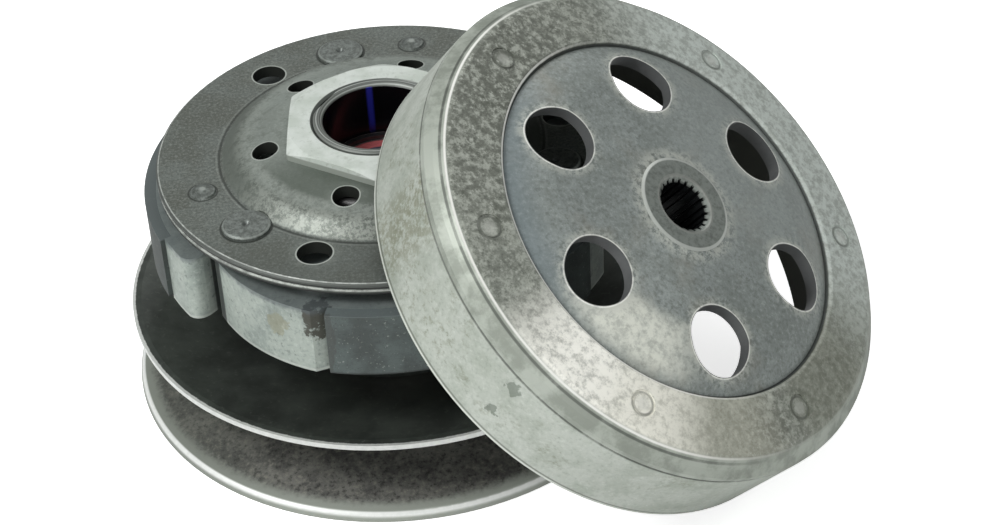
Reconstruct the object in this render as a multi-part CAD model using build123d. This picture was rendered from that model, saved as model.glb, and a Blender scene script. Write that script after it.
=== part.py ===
from build123d import *
from math import asin, atan2, cos, degrees, hypot, pi, radians, sin, sqrt, tan
import os

# Driven pulley, centrifugal clutch and clutch bell of a small belt-driven engine.
# The pulley stands on its fixed sheave, the clutch is on top of it, and the bell is off its shaft
# and leans on the drive plate. Lengths are in mm and angles in degrees. Heights run up from the
# plane that the pulley stands on. The origin is in the middle of the ball bearing's bore.

# Pulley
belt_half_angle = 14.0
fixed_sheave_radius = 68.9
fixed_sheave_thickness = 3.5
movable_sheave_radius = 68.0
movable_rim_thickness = 1.4
sheave_hub_radius = 27.0
sheave_foot_width = 5.5
fixed_rim_height = 2.153
sheave_rim_round = 2.2
sheave_foot_round = 0.35
movable_rim_flat = 2.2
movable_hub_margin = 3.0
movable_dish_step = 1.7
movable_hub_height = 19.5
movable_hub_radius = 32.0
sheave_gap = 0.1
sheave_travel = 13.0

# Hub tube
tube_radius = 17.0
tube_foot = 2.5
tube_flange_radius = 24.0
tube_flange_height = 5.6
thread_radius = 16.4
thread_flat = 15.2
thread_flat_angle = 146.0
mouth_height = 73.5
mouth_chamfer = 0.8
shaft_room_radius = 12.0

# Bearings
needle_outer_radius = 13.0
needle_length = 18.0
needle_wall = 1.0
needle_roller_radius = 1.0
needle_count = 18
ball_bearing_outer_radius = 14.0
ball_bearing_bore_radius = 7.5
ball_bearing_width = 7.0
ball_bearing_depth = 16.0
ball_radius = 1.95
ball_count = 11
cage_half_width = 1.1
cage_rim = 0.5
ring_wall = 1.8
race_clearance = 0.12
seal_thickness = 0.6
snap_ring_thickness = 1.2
snap_ring_depth = 0.9
snap_ring_bore_radius = 12.6
snap_ring_gap_angle = 50.0
snap_ring_angle = 60.0
seal_inset = 0.1
seal_lip_clearance = 0.15
roller_clearance = 0.1
ball_clearance = 0.05

# Cam collar with its guide pins, seals and O-rings
collar_radius = 20.5
collar_top = 50.0
slot_lead = 130.0
slot_count = 3
slot_angle = 30.0
guide_pin_radius = 2.2
guide_roller_radius = 3.0
guide_height = 42.0
guide_pin_inset = 0.4
guide_pin_end_gap = 0.3
guide_roller_end_gap = 0.25
slot_clearance = 0.2
oil_seal_height = 3.0
oil_seal_wall = 1.6
oil_seal_lip = 0.7
oil_seal_floor = 1.0
o_ring_thickness = 1.5
o_ring_inset = 2.4
o_ring_rise = 0.6
sliding_clearance = 0.04
o_ring_clearance = 0.1

# Spring seat and contra spring
seat_wall = 1.2
seat_clearance = 0.4
seat_top = 52.0
seat_flange_radius = 31.0
seat_flange_thickness = 1.6
seat_lip_height = 1.2
seat_lip_thickness = 1.0
spring_wire_radius = 2.1
spring_mean_radius = 25.6
spring_turns = 4.0
spring_end_turns = 0.9
spring_end_gap = 0.17
spring_clearance = 0.1

# Drive plate, nut and pins
plate_radius = 56.7
plate_thickness = 3.2
plate_top = 64.4
plate_edge_groove = 0.5
plate_upper_edge = 0.5
plate_lower_edge = 0.3
dome_flat_radius = 27.5
dome_slope_width = 12.8
dome_height = 5.7
dome_shoulder_width = 4.0
dome_shoulder_height = 3.5
dome_foot_round = 1.2
dome_shoulder_round = 5.0
dome_top_round = 8.0
dome_hole_radius = 3.25
dome_hole_circle = 29.3
dome_hole_count = 6
dome_hole_angle = 11.2
plate_hole_radius = 4.25
plate_hole_share = 0.507
plate_hole_angle = 7.2
nut_across_flats = 45.0
nut_thickness = 3.0
nut_angle = 56.0
nut_corner_trim = 0.2
nut_corner_drop = 1.4
nut_crown_width = 3.2
nut_bore_chamfer = 0.6
thread_clearance = 0.1
pivot_share = 0.4654
pivot_angle = 221.1
pivot_radius = 4.0
pivot_head_radius = 6.0
pivot_head_height = 1.0
pivot_head_edge = 0.6
pivot_head_bevel = 0.7
pivot_dimple_radius = 1.1
pivot_dimple_floor_radius = 0.44
pivot_dimple_level = 0.4
pin_chamfer = 0.4
pivot_clearance = 0.03
rivet_clearance = 0.02
damper_share = 0.5438
damper_angle = 317.2
damper_radius = 3.0
damper_head_radius = 3.3
damper_head_height = 1.2
damper_head_edge = 0.54
damper_head_draft = 0.3
damper_nub_height = 0.24
damper_nub_radius = 1.1
damper_nub_flare = 0.5
damper_pin_gap = 0.5

# Shoes, linings and what holds them
shoe_count = 3
shoe_top = 58.0
shoe_bottom = 39.6
web_bottom = 44.2
shoe_inner_radius = 35.0
band_thickness = 5.9
heel_angle = 215.5
heel_inset = 3.9
heel_middle_angle = 233.0
heel_middle_proud = 0.2
heel_end_angle = 250.5
heel_end_proud = 3.1
lining_start_angle = 254.0
lining_end_angle = 322.5
tip_angle = 334.3
tip_proud = 2.6
tip_shoulder_depth = 4.3
tip_round = 3.2
heel_inner_round = 3.0
heel_outer_round = 2.0
carrier_proud = 0.8
lining_thickness = 3.0
lining_top = 57.8
lining_bottom = 40.3
shoe_swing = 2.4
shoe_end_room = 8.0
boss_radius = 6.6
boss_clearance = 0.15
boss_room = 0.8
rubber_radius = 5.8
rubber_clearance = 0.4
rubber_floor_gap = 1.0
pocket_start_angle = 262.0
pocket_end_angle = 296.0
pocket_depth = 8.0
pocket_margin = 3.0
side_plate_thickness = 1.5
side_plate_width = 8.0
side_plate_inset = 5.6
side_plate_clearance = 0.6
clip_thickness = 1.0
clip_radius = 5.6
clip_groove_depth = 0.8
clip_mouth = 4.6
clip_room = 1.2
clip_tab_margin = 0.3
pin_end = 0.8
return_spring_radius = 1.9
return_spring_inset = 4.8
return_spring_half_length = 7.0
return_spring_height = 50.5
return_wire_radius = 0.6
return_hook_angle = 15.5
return_hook_depth = 2.6
return_hook_travel = 1.9
return_leg_offset = 1.0
hook_slot_back = 4.4
hook_slot_front = 1.3
hook_hole_half = 1.2
hook_side_clearance = 0.5

# Clutch bell
bell_radius = 65.2
bell_mouth_radius = 64.4
bell_wall = 3.0
bell_wall_height = 22.7
bell_band_height = 26.0
bell_shoulder_round = 1.5
bell_annulus_radius = 60.5
bell_annulus_height = 28.6
bell_step_run = 1.6
bell_step_rise = 0.7
bell_recess_radius = 47.5
bell_recess_height = 30.5
bell_recess_step = 1.3
bell_recess_run = 0.4
bell_recess_edge = 0.3
bell_swell = 0.5
bell_edge_round = 0.8
bell_face_height = 33.6
bell_face_radius = 35.5
bell_hub_height = 35.5
bell_hub_radius = 12.45
bell_hub_bore = 6.3
bell_boss_radius = 10.4
bell_boss_bottom = 19.0
bell_collar_width = 1.5
bell_collar_height = 1.3
bell_collar_gap = 0.2
bell_hub_proud = 0.4
bell_hub_chamfer = 0.6
bell_hub_edge = 0.3
bell_bore_chamfer = 1.1
bell_line_depth = 0.4
spline_count = 22
spline_depth = 0.75
spline_inner_share = 0.51
spline_root_share = 0.38
bell_hole_count = 6
bell_hole_radius = 8.5
bell_hole_circle = 34.4
bell_hole_angle = 19.6
bell_mark_radius = 3.3
bell_mark_width = 0.8
bell_mark_circle = 54.4
bell_mark_depth = 0.25
bell_mark_angles = (46.0, 106.5, 182.0, 235.0, 292.5, 343.6)
bell_inner_edge = 0.8
bell_outer_edge = 0.5
bell_lean = 39.95
bell_turn = -32.36
bell_side_offset = 2.6
bell_rest_gap = 0.2

# Levels and sizes that follow from the values above
cone = tan(radians(belt_half_angle))
sheave_meeting_height = fixed_rim_height + (fixed_sheave_radius - sheave_hub_radius) * cone
plate_bottom = plate_top - plate_thickness
dome_top = plate_top + dome_height
dome_underside = dome_top - plate_thickness
bearing_top = mouth_height - ball_bearing_depth
bearing_bottom = bearing_top - ball_bearing_width
origin_height = bearing_top - ball_bearing_width / 2
collar_bore = tube_radius + sliding_clearance
seat_bore = collar_radius + seat_clearance
seat_bottom = movable_hub_height + sheave_gap
slot_half_width = guide_roller_radius + slot_clearance
pitch_step = 360 / shoe_count
dome_radius = dome_flat_radius + dome_slope_width
dome_shoulder_radius = dome_radius - dome_shoulder_width
rim_span = plate_radius - shoe_inner_radius
pivot_circle = shoe_inner_radius + pivot_share * rim_span
plate_hole_circle = shoe_inner_radius + plate_hole_share * rim_span
damper_circle = shoe_inner_radius + damper_share * rim_span
heel_radius = plate_radius - heel_inset
heel_middle_radius = plate_radius + heel_middle_proud
heel_end_radius = plate_radius + heel_end_proud
tip_radius = plate_radius + tip_proud
carrier_radius = plate_radius + carrier_proud
lining_radius = carrier_radius + lining_thickness
band_inner_radius = carrier_radius - band_thickness
side_plate_outer_radius = band_inner_radius - side_plate_inset
side_plate_inner_radius = side_plate_outer_radius - side_plate_width
clip_tab_radius = clip_radius + clip_tab_margin
return_spring_circle = shoe_inner_radius - return_spring_inset
cut_room = 1.0
up = (Align.CENTER, Align.CENTER, Align.MIN)


def turned(points):
    """Solid of revolution about the clutch axis from (radius, height) corners."""
    corners = [Vector(r, 0, h) for r, h in points]
    return revolve(make_face(Polyline(*corners, close=True)), Axis.Z)


def rounded(face, corners):
    """Face with corners rounded, each named by its place and its radius."""
    for at, radius in corners:
        vertex = min(face.vertices(), key=lambda v: (Vector(v) - at).length)
        face = fillet(vertex, radius)
    return face


def under_sheet(corners, thickness):
    """Corners of a bent sheet's lower side from those of its upper side, whose ends are level."""
    steps = [atan2(b[1] - a[1], a[0] - b[0]) for a, b in zip(corners, corners[1:])]
    lower = []
    for (r, h), before, after in zip(corners, [0, *steps], [*steps, 0]):
        middle = (before + after) / 2
        reach = thickness / cos((before - after) / 2)
        lower.append((r - reach * sin(middle), h - reach * cos(middle)))
    return lower


def tube(outer, inner, low, high):
    """Plain ring between two heights."""
    return turned([(inner, low), (outer, low), (outer, high), (inner, high)])


def place(angle, radius, height):
    """Location at a polar place, with its own X pointing away from the axis."""
    return Rot(0, 0, angle) * Pos(radius, 0, height)


def peg(radius, low, high, angle=0.0, circle=0.0):
    """Upright cylinder between two heights."""
    return place(angle, circle, low) * Cylinder(radius, high - low, align=up)


def spoke(radius, start, end, angle, height):
    """Cylinder along a line that points away from the clutch axis."""
    return place(angle, start, height) * Rot(0, 90, 0) * Cylinder(radius, end - start, align=up)


def polar(radius, angle, height=0.0):
    return Vector(radius * cos(radians(angle)), radius * sin(radians(angle)), height)


def group(pieces):
    return Compound(children=[Compound(p.solids()) if len(p.solids()) > 1 else p.solid() for p in pieces])


def save(name, shape, bell=False):
    """Write one node, moved from the standing plane to the assembly's origin."""
    placed = (bell_place * shape) if bell else shape
    export_step(Pos(0, 0, -origin_height) * placed, f"parts/{name}.step")


# Fixed sheave: pressed disc whose top is the belt cone, rounded over at the rim that it stands on
def make_fixed_sheave():
    foot = fixed_sheave_radius - sheave_foot_width
    hub_bottom = sheave_meeting_height - fixed_sheave_thickness / cos(radians(belt_half_angle))
    rim_edge = Vector(fixed_sheave_radius, 0, fixed_rim_height)
    foot_edge = Vector(fixed_sheave_radius, 0, 0)
    section = make_face(Polyline(
        Vector(foot, 0, 0),
        Vector(sheave_hub_radius, 0, hub_bottom),
        Vector(tube_radius, 0, hub_bottom),
        Vector(tube_radius, 0, sheave_meeting_height),
        Vector(sheave_hub_radius, 0, sheave_meeting_height),
        rim_edge,
        foot_edge,
        close=True))
    return revolve(rounded(section, [(rim_edge, sheave_rim_round), (foot_edge, sheave_foot_round)]), Axis.Z)


# Hub tube: one turned piece with the needle seat below, the ball bearing seat above, and a flatted end
def make_hub_tube():
    flange_top = sheave_meeting_height - fixed_sheave_thickness / cos(radians(belt_half_angle))
    body = turned([
        (needle_outer_radius, tube_foot),
        (tube_radius, tube_foot),
        (tube_radius, tube_flange_height),
        (tube_flange_radius, tube_flange_height),
        (tube_flange_radius, flange_top),
        (tube_radius, flange_top),
        (tube_radius, dome_underside),
        (thread_radius, dome_underside),
        (thread_radius, mouth_height - mouth_chamfer / 2),
        (thread_radius - mouth_chamfer / 2, mouth_height),
        (ball_bearing_outer_radius + mouth_chamfer, mouth_height),
        (ball_bearing_outer_radius, mouth_height - mouth_chamfer),
        (ball_bearing_outer_radius, bearing_top + snap_ring_thickness),
        (ball_bearing_outer_radius + snap_ring_depth, bearing_top + snap_ring_thickness),
        (ball_bearing_outer_radius + snap_ring_depth, bearing_top),
        (ball_bearing_outer_radius, bearing_top),
        (ball_bearing_outer_radius, bearing_bottom),
        (shaft_room_radius, bearing_bottom),
        (shaft_room_radius, tube_foot + needle_length),
        (needle_outer_radius, tube_foot + needle_length),
    ])
    flat_block = place(thread_flat_angle, thread_flat, dome_underside) * Box(
        thread_radius, 2 * thread_radius, mouth_height, align=(Align.MIN, Align.CENTER, Align.MIN))
    body -= flat_block + Rot(0, 0, 180) * flat_block
    for i in range(slot_count):
        angle = slot_angle + i * 360 / slot_count
        body -= spoke(guide_pin_radius, shaft_room_radius - cut_room, tube_radius + cut_room,
                      angle, guide_height)
    return body


def make_guide_pin(i):
    return spoke(guide_pin_radius, shaft_room_radius + guide_pin_inset, collar_radius - guide_pin_end_gap,
                 slot_angle + i * 360 / slot_count, guide_height)


def make_guide_roller(i):
    angle = slot_angle + i * 360 / slot_count
    start = tube_radius + guide_roller_end_gap
    end = collar_radius - guide_roller_end_gap
    bore = spoke(guide_pin_radius + sliding_clearance, start - cut_room, end + cut_room, angle, guide_height)
    return spoke(guide_roller_radius, start, end, angle, guide_height) - bore


# Needle bearing: drawn shell with its lips turned in over the cage and the rollers
def make_needle_shell():
    inner = needle_outer_radius - needle_wall
    lip = inner - needle_roller_radius
    low = tube_foot
    high = tube_foot + needle_length
    return turned([
        (lip, low), (needle_outer_radius, low), (needle_outer_radius, high), (lip, high),
        (lip, high - needle_wall), (inner, high - needle_wall), (inner, low + needle_wall),
        (lip, low + needle_wall),
    ])


def needle_circle():
    return needle_outer_radius - needle_wall - needle_roller_radius


def needle_span():
    return tube_foot + 2 * needle_wall, tube_foot + needle_length - 2 * needle_wall


def make_needle_rollers():
    low, high = needle_span()
    step = 360 / needle_count
    rollers = [peg(needle_roller_radius, low, high, i * step, needle_circle()) for i in range(needle_count)]
    return group(rollers)


def make_needle_cage():
    low, high = needle_span()
    bar_outer = needle_circle() + 0.5 * needle_roller_radius
    bar_inner = needle_circle() - 0.5 * needle_roller_radius
    cage = tube(bar_outer, bar_inner, low - 0.8 * needle_wall, high + 0.8 * needle_wall)
    step = 360 / needle_count
    for i in range(needle_count):
        cage -= peg(needle_roller_radius + roller_clearance, low - roller_clearance / 2,
                    high + roller_clearance / 2, i * step, needle_circle())
    return cage


# Ball bearing: rings, balls, cage and the two lip seals
ball_circle = (ball_bearing_outer_radius + ball_bearing_bore_radius) / 2


def race(at_angle=0.0):
    return Rot(0, 0, at_angle) * Pos(0, 0, origin_height) * Torus(ball_circle, ball_radius + race_clearance)


def make_outer_ring():
    ring = tube(ball_bearing_outer_radius, ball_bearing_outer_radius - ring_wall, bearing_bottom, bearing_top)
    return ring - race()


def make_inner_ring():
    ring = tube(ball_bearing_bore_radius + ring_wall, ball_bearing_bore_radius, bearing_bottom, bearing_top)
    return ring - race()


def make_balls():
    step = 360 / ball_count
    balls = [place(i * step, ball_circle, origin_height) * Sphere(ball_radius) for i in range(ball_count)]
    return group(balls)


def make_ball_cage():
    half_height = ball_radius + cage_rim
    cage = tube(ball_circle + cage_half_width, ball_circle - cage_half_width,
                origin_height - half_height, origin_height + half_height)
    step = 360 / ball_count
    for i in range(ball_count):
        cage -= spoke(ball_radius + ball_clearance, ball_circle - 2 * cage_half_width,
                      ball_circle + 2 * cage_half_width, i * step, origin_height)
    return cage


def make_bearing_seal(upper):
    """Lip seal held in the outer ring, just clear of the inner one."""
    high = bearing_top - seal_inset if upper else bearing_bottom + seal_inset + seal_thickness
    outer = ball_bearing_outer_radius - ring_wall
    inner = ball_bearing_bore_radius + ring_wall + seal_lip_clearance
    return tube(outer, inner, high - seal_thickness, high)


def make_snap_ring():
    ring = tube(ball_bearing_outer_radius + snap_ring_depth, snap_ring_bore_radius,
                bearing_top, bearing_top + snap_ring_thickness)
    half = radians(snap_ring_gap_angle / 2)
    reach = 2 * ball_bearing_outer_radius
    corner = (reach * cos(half), reach * sin(half))
    wedge = extrude(make_face(Polyline((0, 0), (corner[0], corner[1]), (corner[0], -corner[1]), close=True)),
                    snap_ring_thickness)
    return ring - Rot(0, 0, snap_ring_angle) * Pos(0, 0, bearing_top) * wedge


# Movable sheave: dished disc on the cam collar
def make_movable_sheave():
    bottom = sheave_meeting_height + sheave_gap
    rim_bottom = bottom + (movable_sheave_radius - sheave_hub_radius) * cone
    rim_top = rim_bottom + movable_rim_thickness
    dish_bottom = movable_hub_height - movable_dish_step
    return turned([
        (collar_radius, bottom),
        (sheave_hub_radius, bottom),
        (movable_sheave_radius, rim_bottom),
        (movable_sheave_radius, rim_top),
        (movable_sheave_radius - movable_rim_flat, rim_top),
        (movable_hub_radius + movable_hub_margin, dish_bottom),
        (movable_hub_radius, movable_hub_height),
        (collar_radius, movable_hub_height),
    ])


def slot_cutter(i):
    """Helical slot: where the guide roller passes as the sheave rises and turns."""
    turn = 360 * sheave_travel / slot_lead
    top_angle = slot_angle + i * 360 / slot_count
    middle = (collar_bore + collar_radius) / 2
    reach = collar_radius - collar_bore + 4 * cut_room
    path = Pos(0, 0, guide_height - sheave_travel) * Rot(0, 0, top_angle - turn) * Helix(
        pitch=slot_lead, height=sheave_travel, radius=middle)
    start = path @ 0
    outward = Vector(start.X, start.Y, 0).normalized()
    section = Plane(origin=start, x_dir=outward, z_dir=path % 0) * Rectangle(reach, 2 * slot_half_width)
    cutter = sweep(section, path=path, is_frenet=True)
    ends = spoke(slot_half_width, middle - reach / 2, middle + reach / 2, top_angle, guide_height)
    ends += spoke(slot_half_width, middle - reach / 2, middle + reach / 2, top_angle - turn,
                  guide_height - sheave_travel)
    return cutter, ends


def make_cam_collar():
    bottom = sheave_meeting_height + sheave_gap
    seal_bore = collar_bore + oil_seal_wall
    groove = collar_radius - o_ring_thickness
    collar = turned([
        (seal_bore, bottom),
        (collar_radius, bottom),
        (collar_radius, lower_o_ring - o_ring_thickness / 2),
        (groove, lower_o_ring - o_ring_thickness / 2),
        (groove, lower_o_ring + o_ring_thickness / 2),
        (collar_radius, lower_o_ring + o_ring_thickness / 2),
        (collar_radius, upper_o_ring - o_ring_thickness / 2),
        (groove, upper_o_ring - o_ring_thickness / 2),
        (groove, upper_o_ring + o_ring_thickness / 2),
        (collar_radius, upper_o_ring + o_ring_thickness / 2),
        (collar_radius, collar_top),
        (seal_bore, collar_top),
        (seal_bore, collar_top - oil_seal_height),
        (collar_bore, collar_top - oil_seal_height),
        (collar_bore, bottom + oil_seal_height),
        (seal_bore, bottom + oil_seal_height),
    ])
    for i in range(slot_count):
        channel, ends = slot_cutter(i)
        collar = collar - channel - ends
    return collar


lower_o_ring = movable_hub_height + o_ring_inset
upper_o_ring = collar_top - oil_seal_height + o_ring_rise


def make_oil_seal(low):
    """Lip seal pressed in one end of the collar, wiping the hub tube."""
    outer = collar_bore + oil_seal_wall
    return turned([
        (collar_bore, low), (outer, low), (outer, low + oil_seal_height),
        (outer - oil_seal_lip, low + oil_seal_height), (outer - oil_seal_lip, low + oil_seal_floor),
        (collar_bore, low + oil_seal_floor),
    ])


def make_o_ring(height):
    section = o_ring_thickness - o_ring_clearance
    outer = seat_bore - o_ring_clearance
    inner = collar_radius - o_ring_thickness
    return tube(outer, inner, height - section / 2, height + section / 2)


# Spring seat: thin sleeve over the collar with a flange that the contra spring pushes on
def make_spring_seat():
    outer = seat_bore + seat_wall
    flange_top = seat_bottom + seat_flange_thickness
    return turned([
        (seat_bore, seat_bottom),
        (seat_flange_radius, seat_bottom),
        (seat_flange_radius, flange_top + seat_lip_height),
        (seat_flange_radius - seat_lip_thickness, flange_top + seat_lip_height),
        (seat_flange_radius - seat_lip_thickness, flange_top),
        (outer, flange_top),
        (outer, seat_top),
        (seat_bore, seat_top),
    ])


def make_contra_spring():
    """Round-wire spring with a nearly flat coil at each end."""
    low = seat_bottom + seat_flange_thickness + spring_clearance + spring_wire_radius
    high = dome_underside - spring_clearance - spring_wire_radius
    end_pitch = 2 * spring_wire_radius + spring_end_gap
    end_rise = spring_end_turns * end_pitch
    rise = high - low - 2 * end_rise
    spans = [
        (low, end_pitch, end_rise, 0.0),
        (low + end_rise, rise / spring_turns, rise, 360 * spring_end_turns),
        (high - end_rise, end_pitch, end_rise, 360 * (spring_end_turns + spring_turns)),
    ]
    edges = []
    for start, pitch, height, angle in spans:
        path = Pos(0, 0, start) * Rot(0, 0, angle) * Helix(
            pitch=pitch, height=height, radius=spring_mean_radius)
        edges += path.edges()
    path = Wire(edges)
    section = Plane(origin=path @ 0, z_dir=path % 0) * Circle(spring_wire_radius)
    return sweep(section, path=path, is_frenet=True, transition=Transition.TRANSFORMED)


# Drive plate: pressed steel, its raised middle clamped under the nut
def make_drive_plate():
    bore = thread_flat - 4 * cut_room
    foot = (dome_radius, plate_top)
    shoulder = (dome_shoulder_radius, plate_top + dome_shoulder_height)
    flat = (dome_flat_radius, dome_top)
    upper = [(plate_radius, plate_top), foot, shoulder, flat, (bore, dome_top)]
    lower = under_sheet(upper, plate_thickness)
    rim = [
        (plate_radius - plate_lower_edge, plate_bottom),
        (plate_radius, plate_bottom + plate_lower_edge),
        (plate_radius, plate_bottom + 0.4 * plate_thickness),
        (plate_radius - plate_edge_groove, plate_bottom + 0.5 * plate_thickness),
        (plate_radius, plate_bottom + 0.6 * plate_thickness),
        (plate_radius, plate_top - plate_upper_edge),
        (plate_radius - plate_upper_edge, plate_top),
    ]
    outline = [Vector(r, 0, h) for r, h in rim + upper[1:] + lower[:0:-1]]
    rounds = []
    sizes = (dome_foot_round, dome_shoulder_round, dome_top_round)
    for above, below, size in zip(upper[1:4], lower[1:4], sizes):
        inner = size + plate_thickness if above == foot else size - plate_thickness
        rounds += [(Vector(above[0], 0, above[1]), size), (Vector(below[0], 0, below[1]), inner)]
    plate = revolve(rounded(make_face(Polyline(*outline, close=True)), rounds), Axis.Z)
    keyed = peg(thread_radius, dome_underside - cut_room, dome_top + cut_room)
    for side in (0, 180):
        keyed -= Rot(0, 0, thread_flat_angle + side) * Pos(thread_flat, 0, dome_underside - cut_room) * Box(
            thread_radius, 2 * thread_radius, plate_thickness + 2 * cut_room,
            align=(Align.MIN, Align.CENTER, Align.MIN))
    plate -= keyed
    low = plate_bottom - cut_room
    for i in range(dome_hole_count):
        plate -= peg(dome_hole_radius, low, dome_top + cut_room, dome_hole_angle + i * 360 / dome_hole_count,
                     dome_hole_circle)
    for i in range(shoe_count):
        turn = i * pitch_step
        plate -= peg(plate_hole_radius, low, plate_top + cut_room, plate_hole_angle + turn, plate_hole_circle)
        plate -= peg(pivot_radius + rivet_clearance, low, plate_top + cut_room, pivot_angle + turn,
                     pivot_circle)
        plate -= peg(pivot_head_radius + rivet_clearance, plate_top, dome_top, pivot_angle + turn,
                     pivot_circle)
        plate -= peg(damper_radius + rivet_clearance, low, plate_top + cut_room, damper_angle + turn,
                     damper_circle)
    return plate


def make_nut():
    corner = nut_across_flats / 2 / cos(pi / 6)
    top = dome_top + nut_thickness
    nut = Rot(0, 0, nut_angle + 30) * Pos(0, 0, dome_top) * extrude(RegularPolygon(corner, 6), nut_thickness)
    crown = turned([
        (0, dome_top),
        (corner - nut_corner_trim, dome_top),
        (corner - nut_corner_trim, top - nut_corner_drop),
        (corner - nut_crown_width, top), (0, top),
    ])
    nut = nut & crown
    bore = thread_radius + thread_clearance
    return nut - turned([
        (0, dome_top - cut_room), (bore, dome_top - cut_room), (bore, top - nut_bore_chamfer),
        (bore + nut_bore_chamfer + cut_room, top + cut_room), (0, top + cut_room),
    ])


def make_pivot_pin(i):
    """Shoe pivot, riveted in the plate above and grooved for its clip below."""
    low = pin_bottom
    pin = turned([
        (0, low),
        (pivot_radius - pin_chamfer, low),
        (pivot_radius, low + pin_chamfer),
        (pivot_radius, clip_bottom),
        (pivot_radius - clip_groove_depth, clip_bottom),
        (pivot_radius - clip_groove_depth, clip_bottom + clip_thickness),
        (pivot_radius, clip_bottom + clip_thickness),
        (pivot_radius, plate_top),
        (pivot_head_radius, plate_top),
        (pivot_head_radius, plate_top + pivot_head_edge),
        (pivot_head_radius - pivot_head_bevel, plate_top + pivot_head_height),
        (pivot_dimple_radius, plate_top + pivot_head_height),
        (pivot_dimple_floor_radius, plate_top + pivot_dimple_level),
        (0, plate_top + pivot_dimple_level),
    ])
    return place(pivot_angle + i * pitch_step, pivot_circle, 0) * pin


def make_damper_pin(i):
    pin = turned([
        (0, web_bottom + damper_pin_gap),
        (damper_radius, web_bottom + damper_pin_gap),
        (damper_radius, plate_top),
        (damper_head_radius, plate_top),
        (damper_head_radius - damper_head_draft, plate_top + damper_head_edge),
        (damper_nub_radius + damper_nub_flare, plate_top + damper_head_height - damper_nub_height),
        (damper_nub_radius, plate_top + damper_head_height),
        (0, plate_top + damper_head_height),
    ])
    return place(damper_angle + i * pitch_step, damper_circle, 0) * pin


def make_damper_rubber(i):
    rubber = peg(rubber_radius, web_bottom + rubber_floor_gap, plate_bottom)
    rubber -= peg(damper_radius, web_bottom, plate_bottom + cut_room)
    return place(damper_angle + i * pitch_step, damper_circle, 0) * rubber


# Side plate and clips that keep the shoes on their pins
side_plate_top = web_bottom - side_plate_clearance
side_plate_bottom = side_plate_top - side_plate_thickness
clip_bottom = side_plate_bottom - clip_thickness
pin_bottom = clip_bottom - pin_end


def make_side_plate():
    plate = tube(side_plate_outer_radius, side_plate_inner_radius, side_plate_bottom, side_plate_top)
    start = (side_plate_inner_radius + side_plate_outer_radius) / 2
    reach = abs(pivot_circle - start)
    arm = Pos((start + pivot_circle) / 2, 0, side_plate_bottom) * Box(
        reach, 2 * clip_tab_radius, side_plate_thickness, align=up)
    for i in range(shoe_count):
        angle = pivot_angle + i * pitch_step
        plate += Rot(0, 0, angle) * arm
        plate += peg(clip_tab_radius, side_plate_bottom, side_plate_top, angle, pivot_circle)
        plate -= peg(pivot_radius + pivot_clearance, side_plate_bottom - cut_room, side_plate_top + cut_room,
                     angle, pivot_circle)
    return plate


def make_e_clip(i):
    neck = pivot_radius - clip_groove_depth
    clip = peg(clip_radius, clip_bottom, clip_bottom + clip_thickness)
    clip -= peg(neck, clip_bottom - cut_room, clip_bottom + clip_thickness + cut_room)
    mouth = Pos(0, 0, clip_bottom - cut_room) * Box(
        2 * clip_radius, clip_mouth, clip_thickness + 2 * cut_room,
        align=(Align.MIN, Align.CENTER, Align.MIN))
    return place(pivot_angle + i * pitch_step, pivot_circle, 0) * Rot(0, 0, 180) * (clip - mouth)


# Shoes: castings with a heel round the pivot, a band that carries the lining, and a rounded tip
def tip_flank_end():
    """Inner end of the tip's flank, which passes clear of the next shoe's pivot boss."""
    shoulder = polar(tip_radius - tip_shoulder_depth, tip_angle)
    to_boss = polar(pivot_circle, pivot_angle + pitch_step) - shoulder
    aside = degrees(asin((boss_radius + boss_room) / to_boss.length))
    along = to_boss.normalized().rotate(Axis.Z, aside)
    inward = -shoulder.dot(along)
    return shoulder + along * (inward - sqrt(shoe_inner_radius ** 2 - shoulder.length ** 2 + inward ** 2))


def shoe_outline():
    heel = ThreePointArc(polar(heel_radius, heel_angle), polar(heel_middle_radius, heel_middle_angle),
                         polar(heel_end_radius, heel_end_angle))
    step_in = Line(polar(heel_end_radius, heel_end_angle), polar(carrier_radius, lining_start_angle))
    middle = (lining_start_angle + lining_end_angle) / 2
    carrier = ThreePointArc(polar(carrier_radius, lining_start_angle), polar(carrier_radius, middle),
                            polar(carrier_radius, lining_end_angle))
    step_out = Line(polar(carrier_radius, lining_end_angle), polar(tip_radius, lining_end_angle))
    tip_middle = (lining_end_angle + tip_angle) / 2
    tip = ThreePointArc(polar(tip_radius, lining_end_angle), polar(tip_radius, tip_middle),
                        polar(tip_radius, tip_angle))
    shoulder = polar(tip_radius - tip_shoulder_depth, tip_angle)
    tip_end = Line(polar(tip_radius, tip_angle), shoulder)
    flank = Line(shoulder, tip_flank_end())
    inner_middle = (heel_angle + tip_angle) / 2
    inner = ThreePointArc(tip_flank_end(), polar(shoe_inner_radius, inner_middle),
                          polar(shoe_inner_radius, heel_angle))
    heel_end = Line(polar(shoe_inner_radius, heel_angle), polar(heel_radius, heel_angle))
    face = make_face(Wire([heel, step_in, carrier, step_out, tip, tip_end, flank, inner, heel_end]))
    corners = [
        (polar(tip_radius, tip_angle), tip_round),
        (polar(shoe_inner_radius, heel_angle), heel_inner_round),
        (polar(heel_radius, heel_angle), heel_outer_round),
    ]
    return rounded(face, corners)


def arc_slab(inner, outer, start, end, low, high):
    """Part of a ring between two angles and two heights."""
    middle = (start + end) / 2
    wire = Wire([
        ThreePointArc(polar(outer, start), polar(outer, middle), polar(outer, end)),
        Line(polar(outer, end), polar(inner, end)),
        ThreePointArc(polar(inner, end), polar(inner, middle), polar(inner, start)),
        Line(polar(inner, start), polar(outer, start)),
    ])
    return Pos(0, 0, low) * extrude(make_face(wire), high - low)


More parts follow.
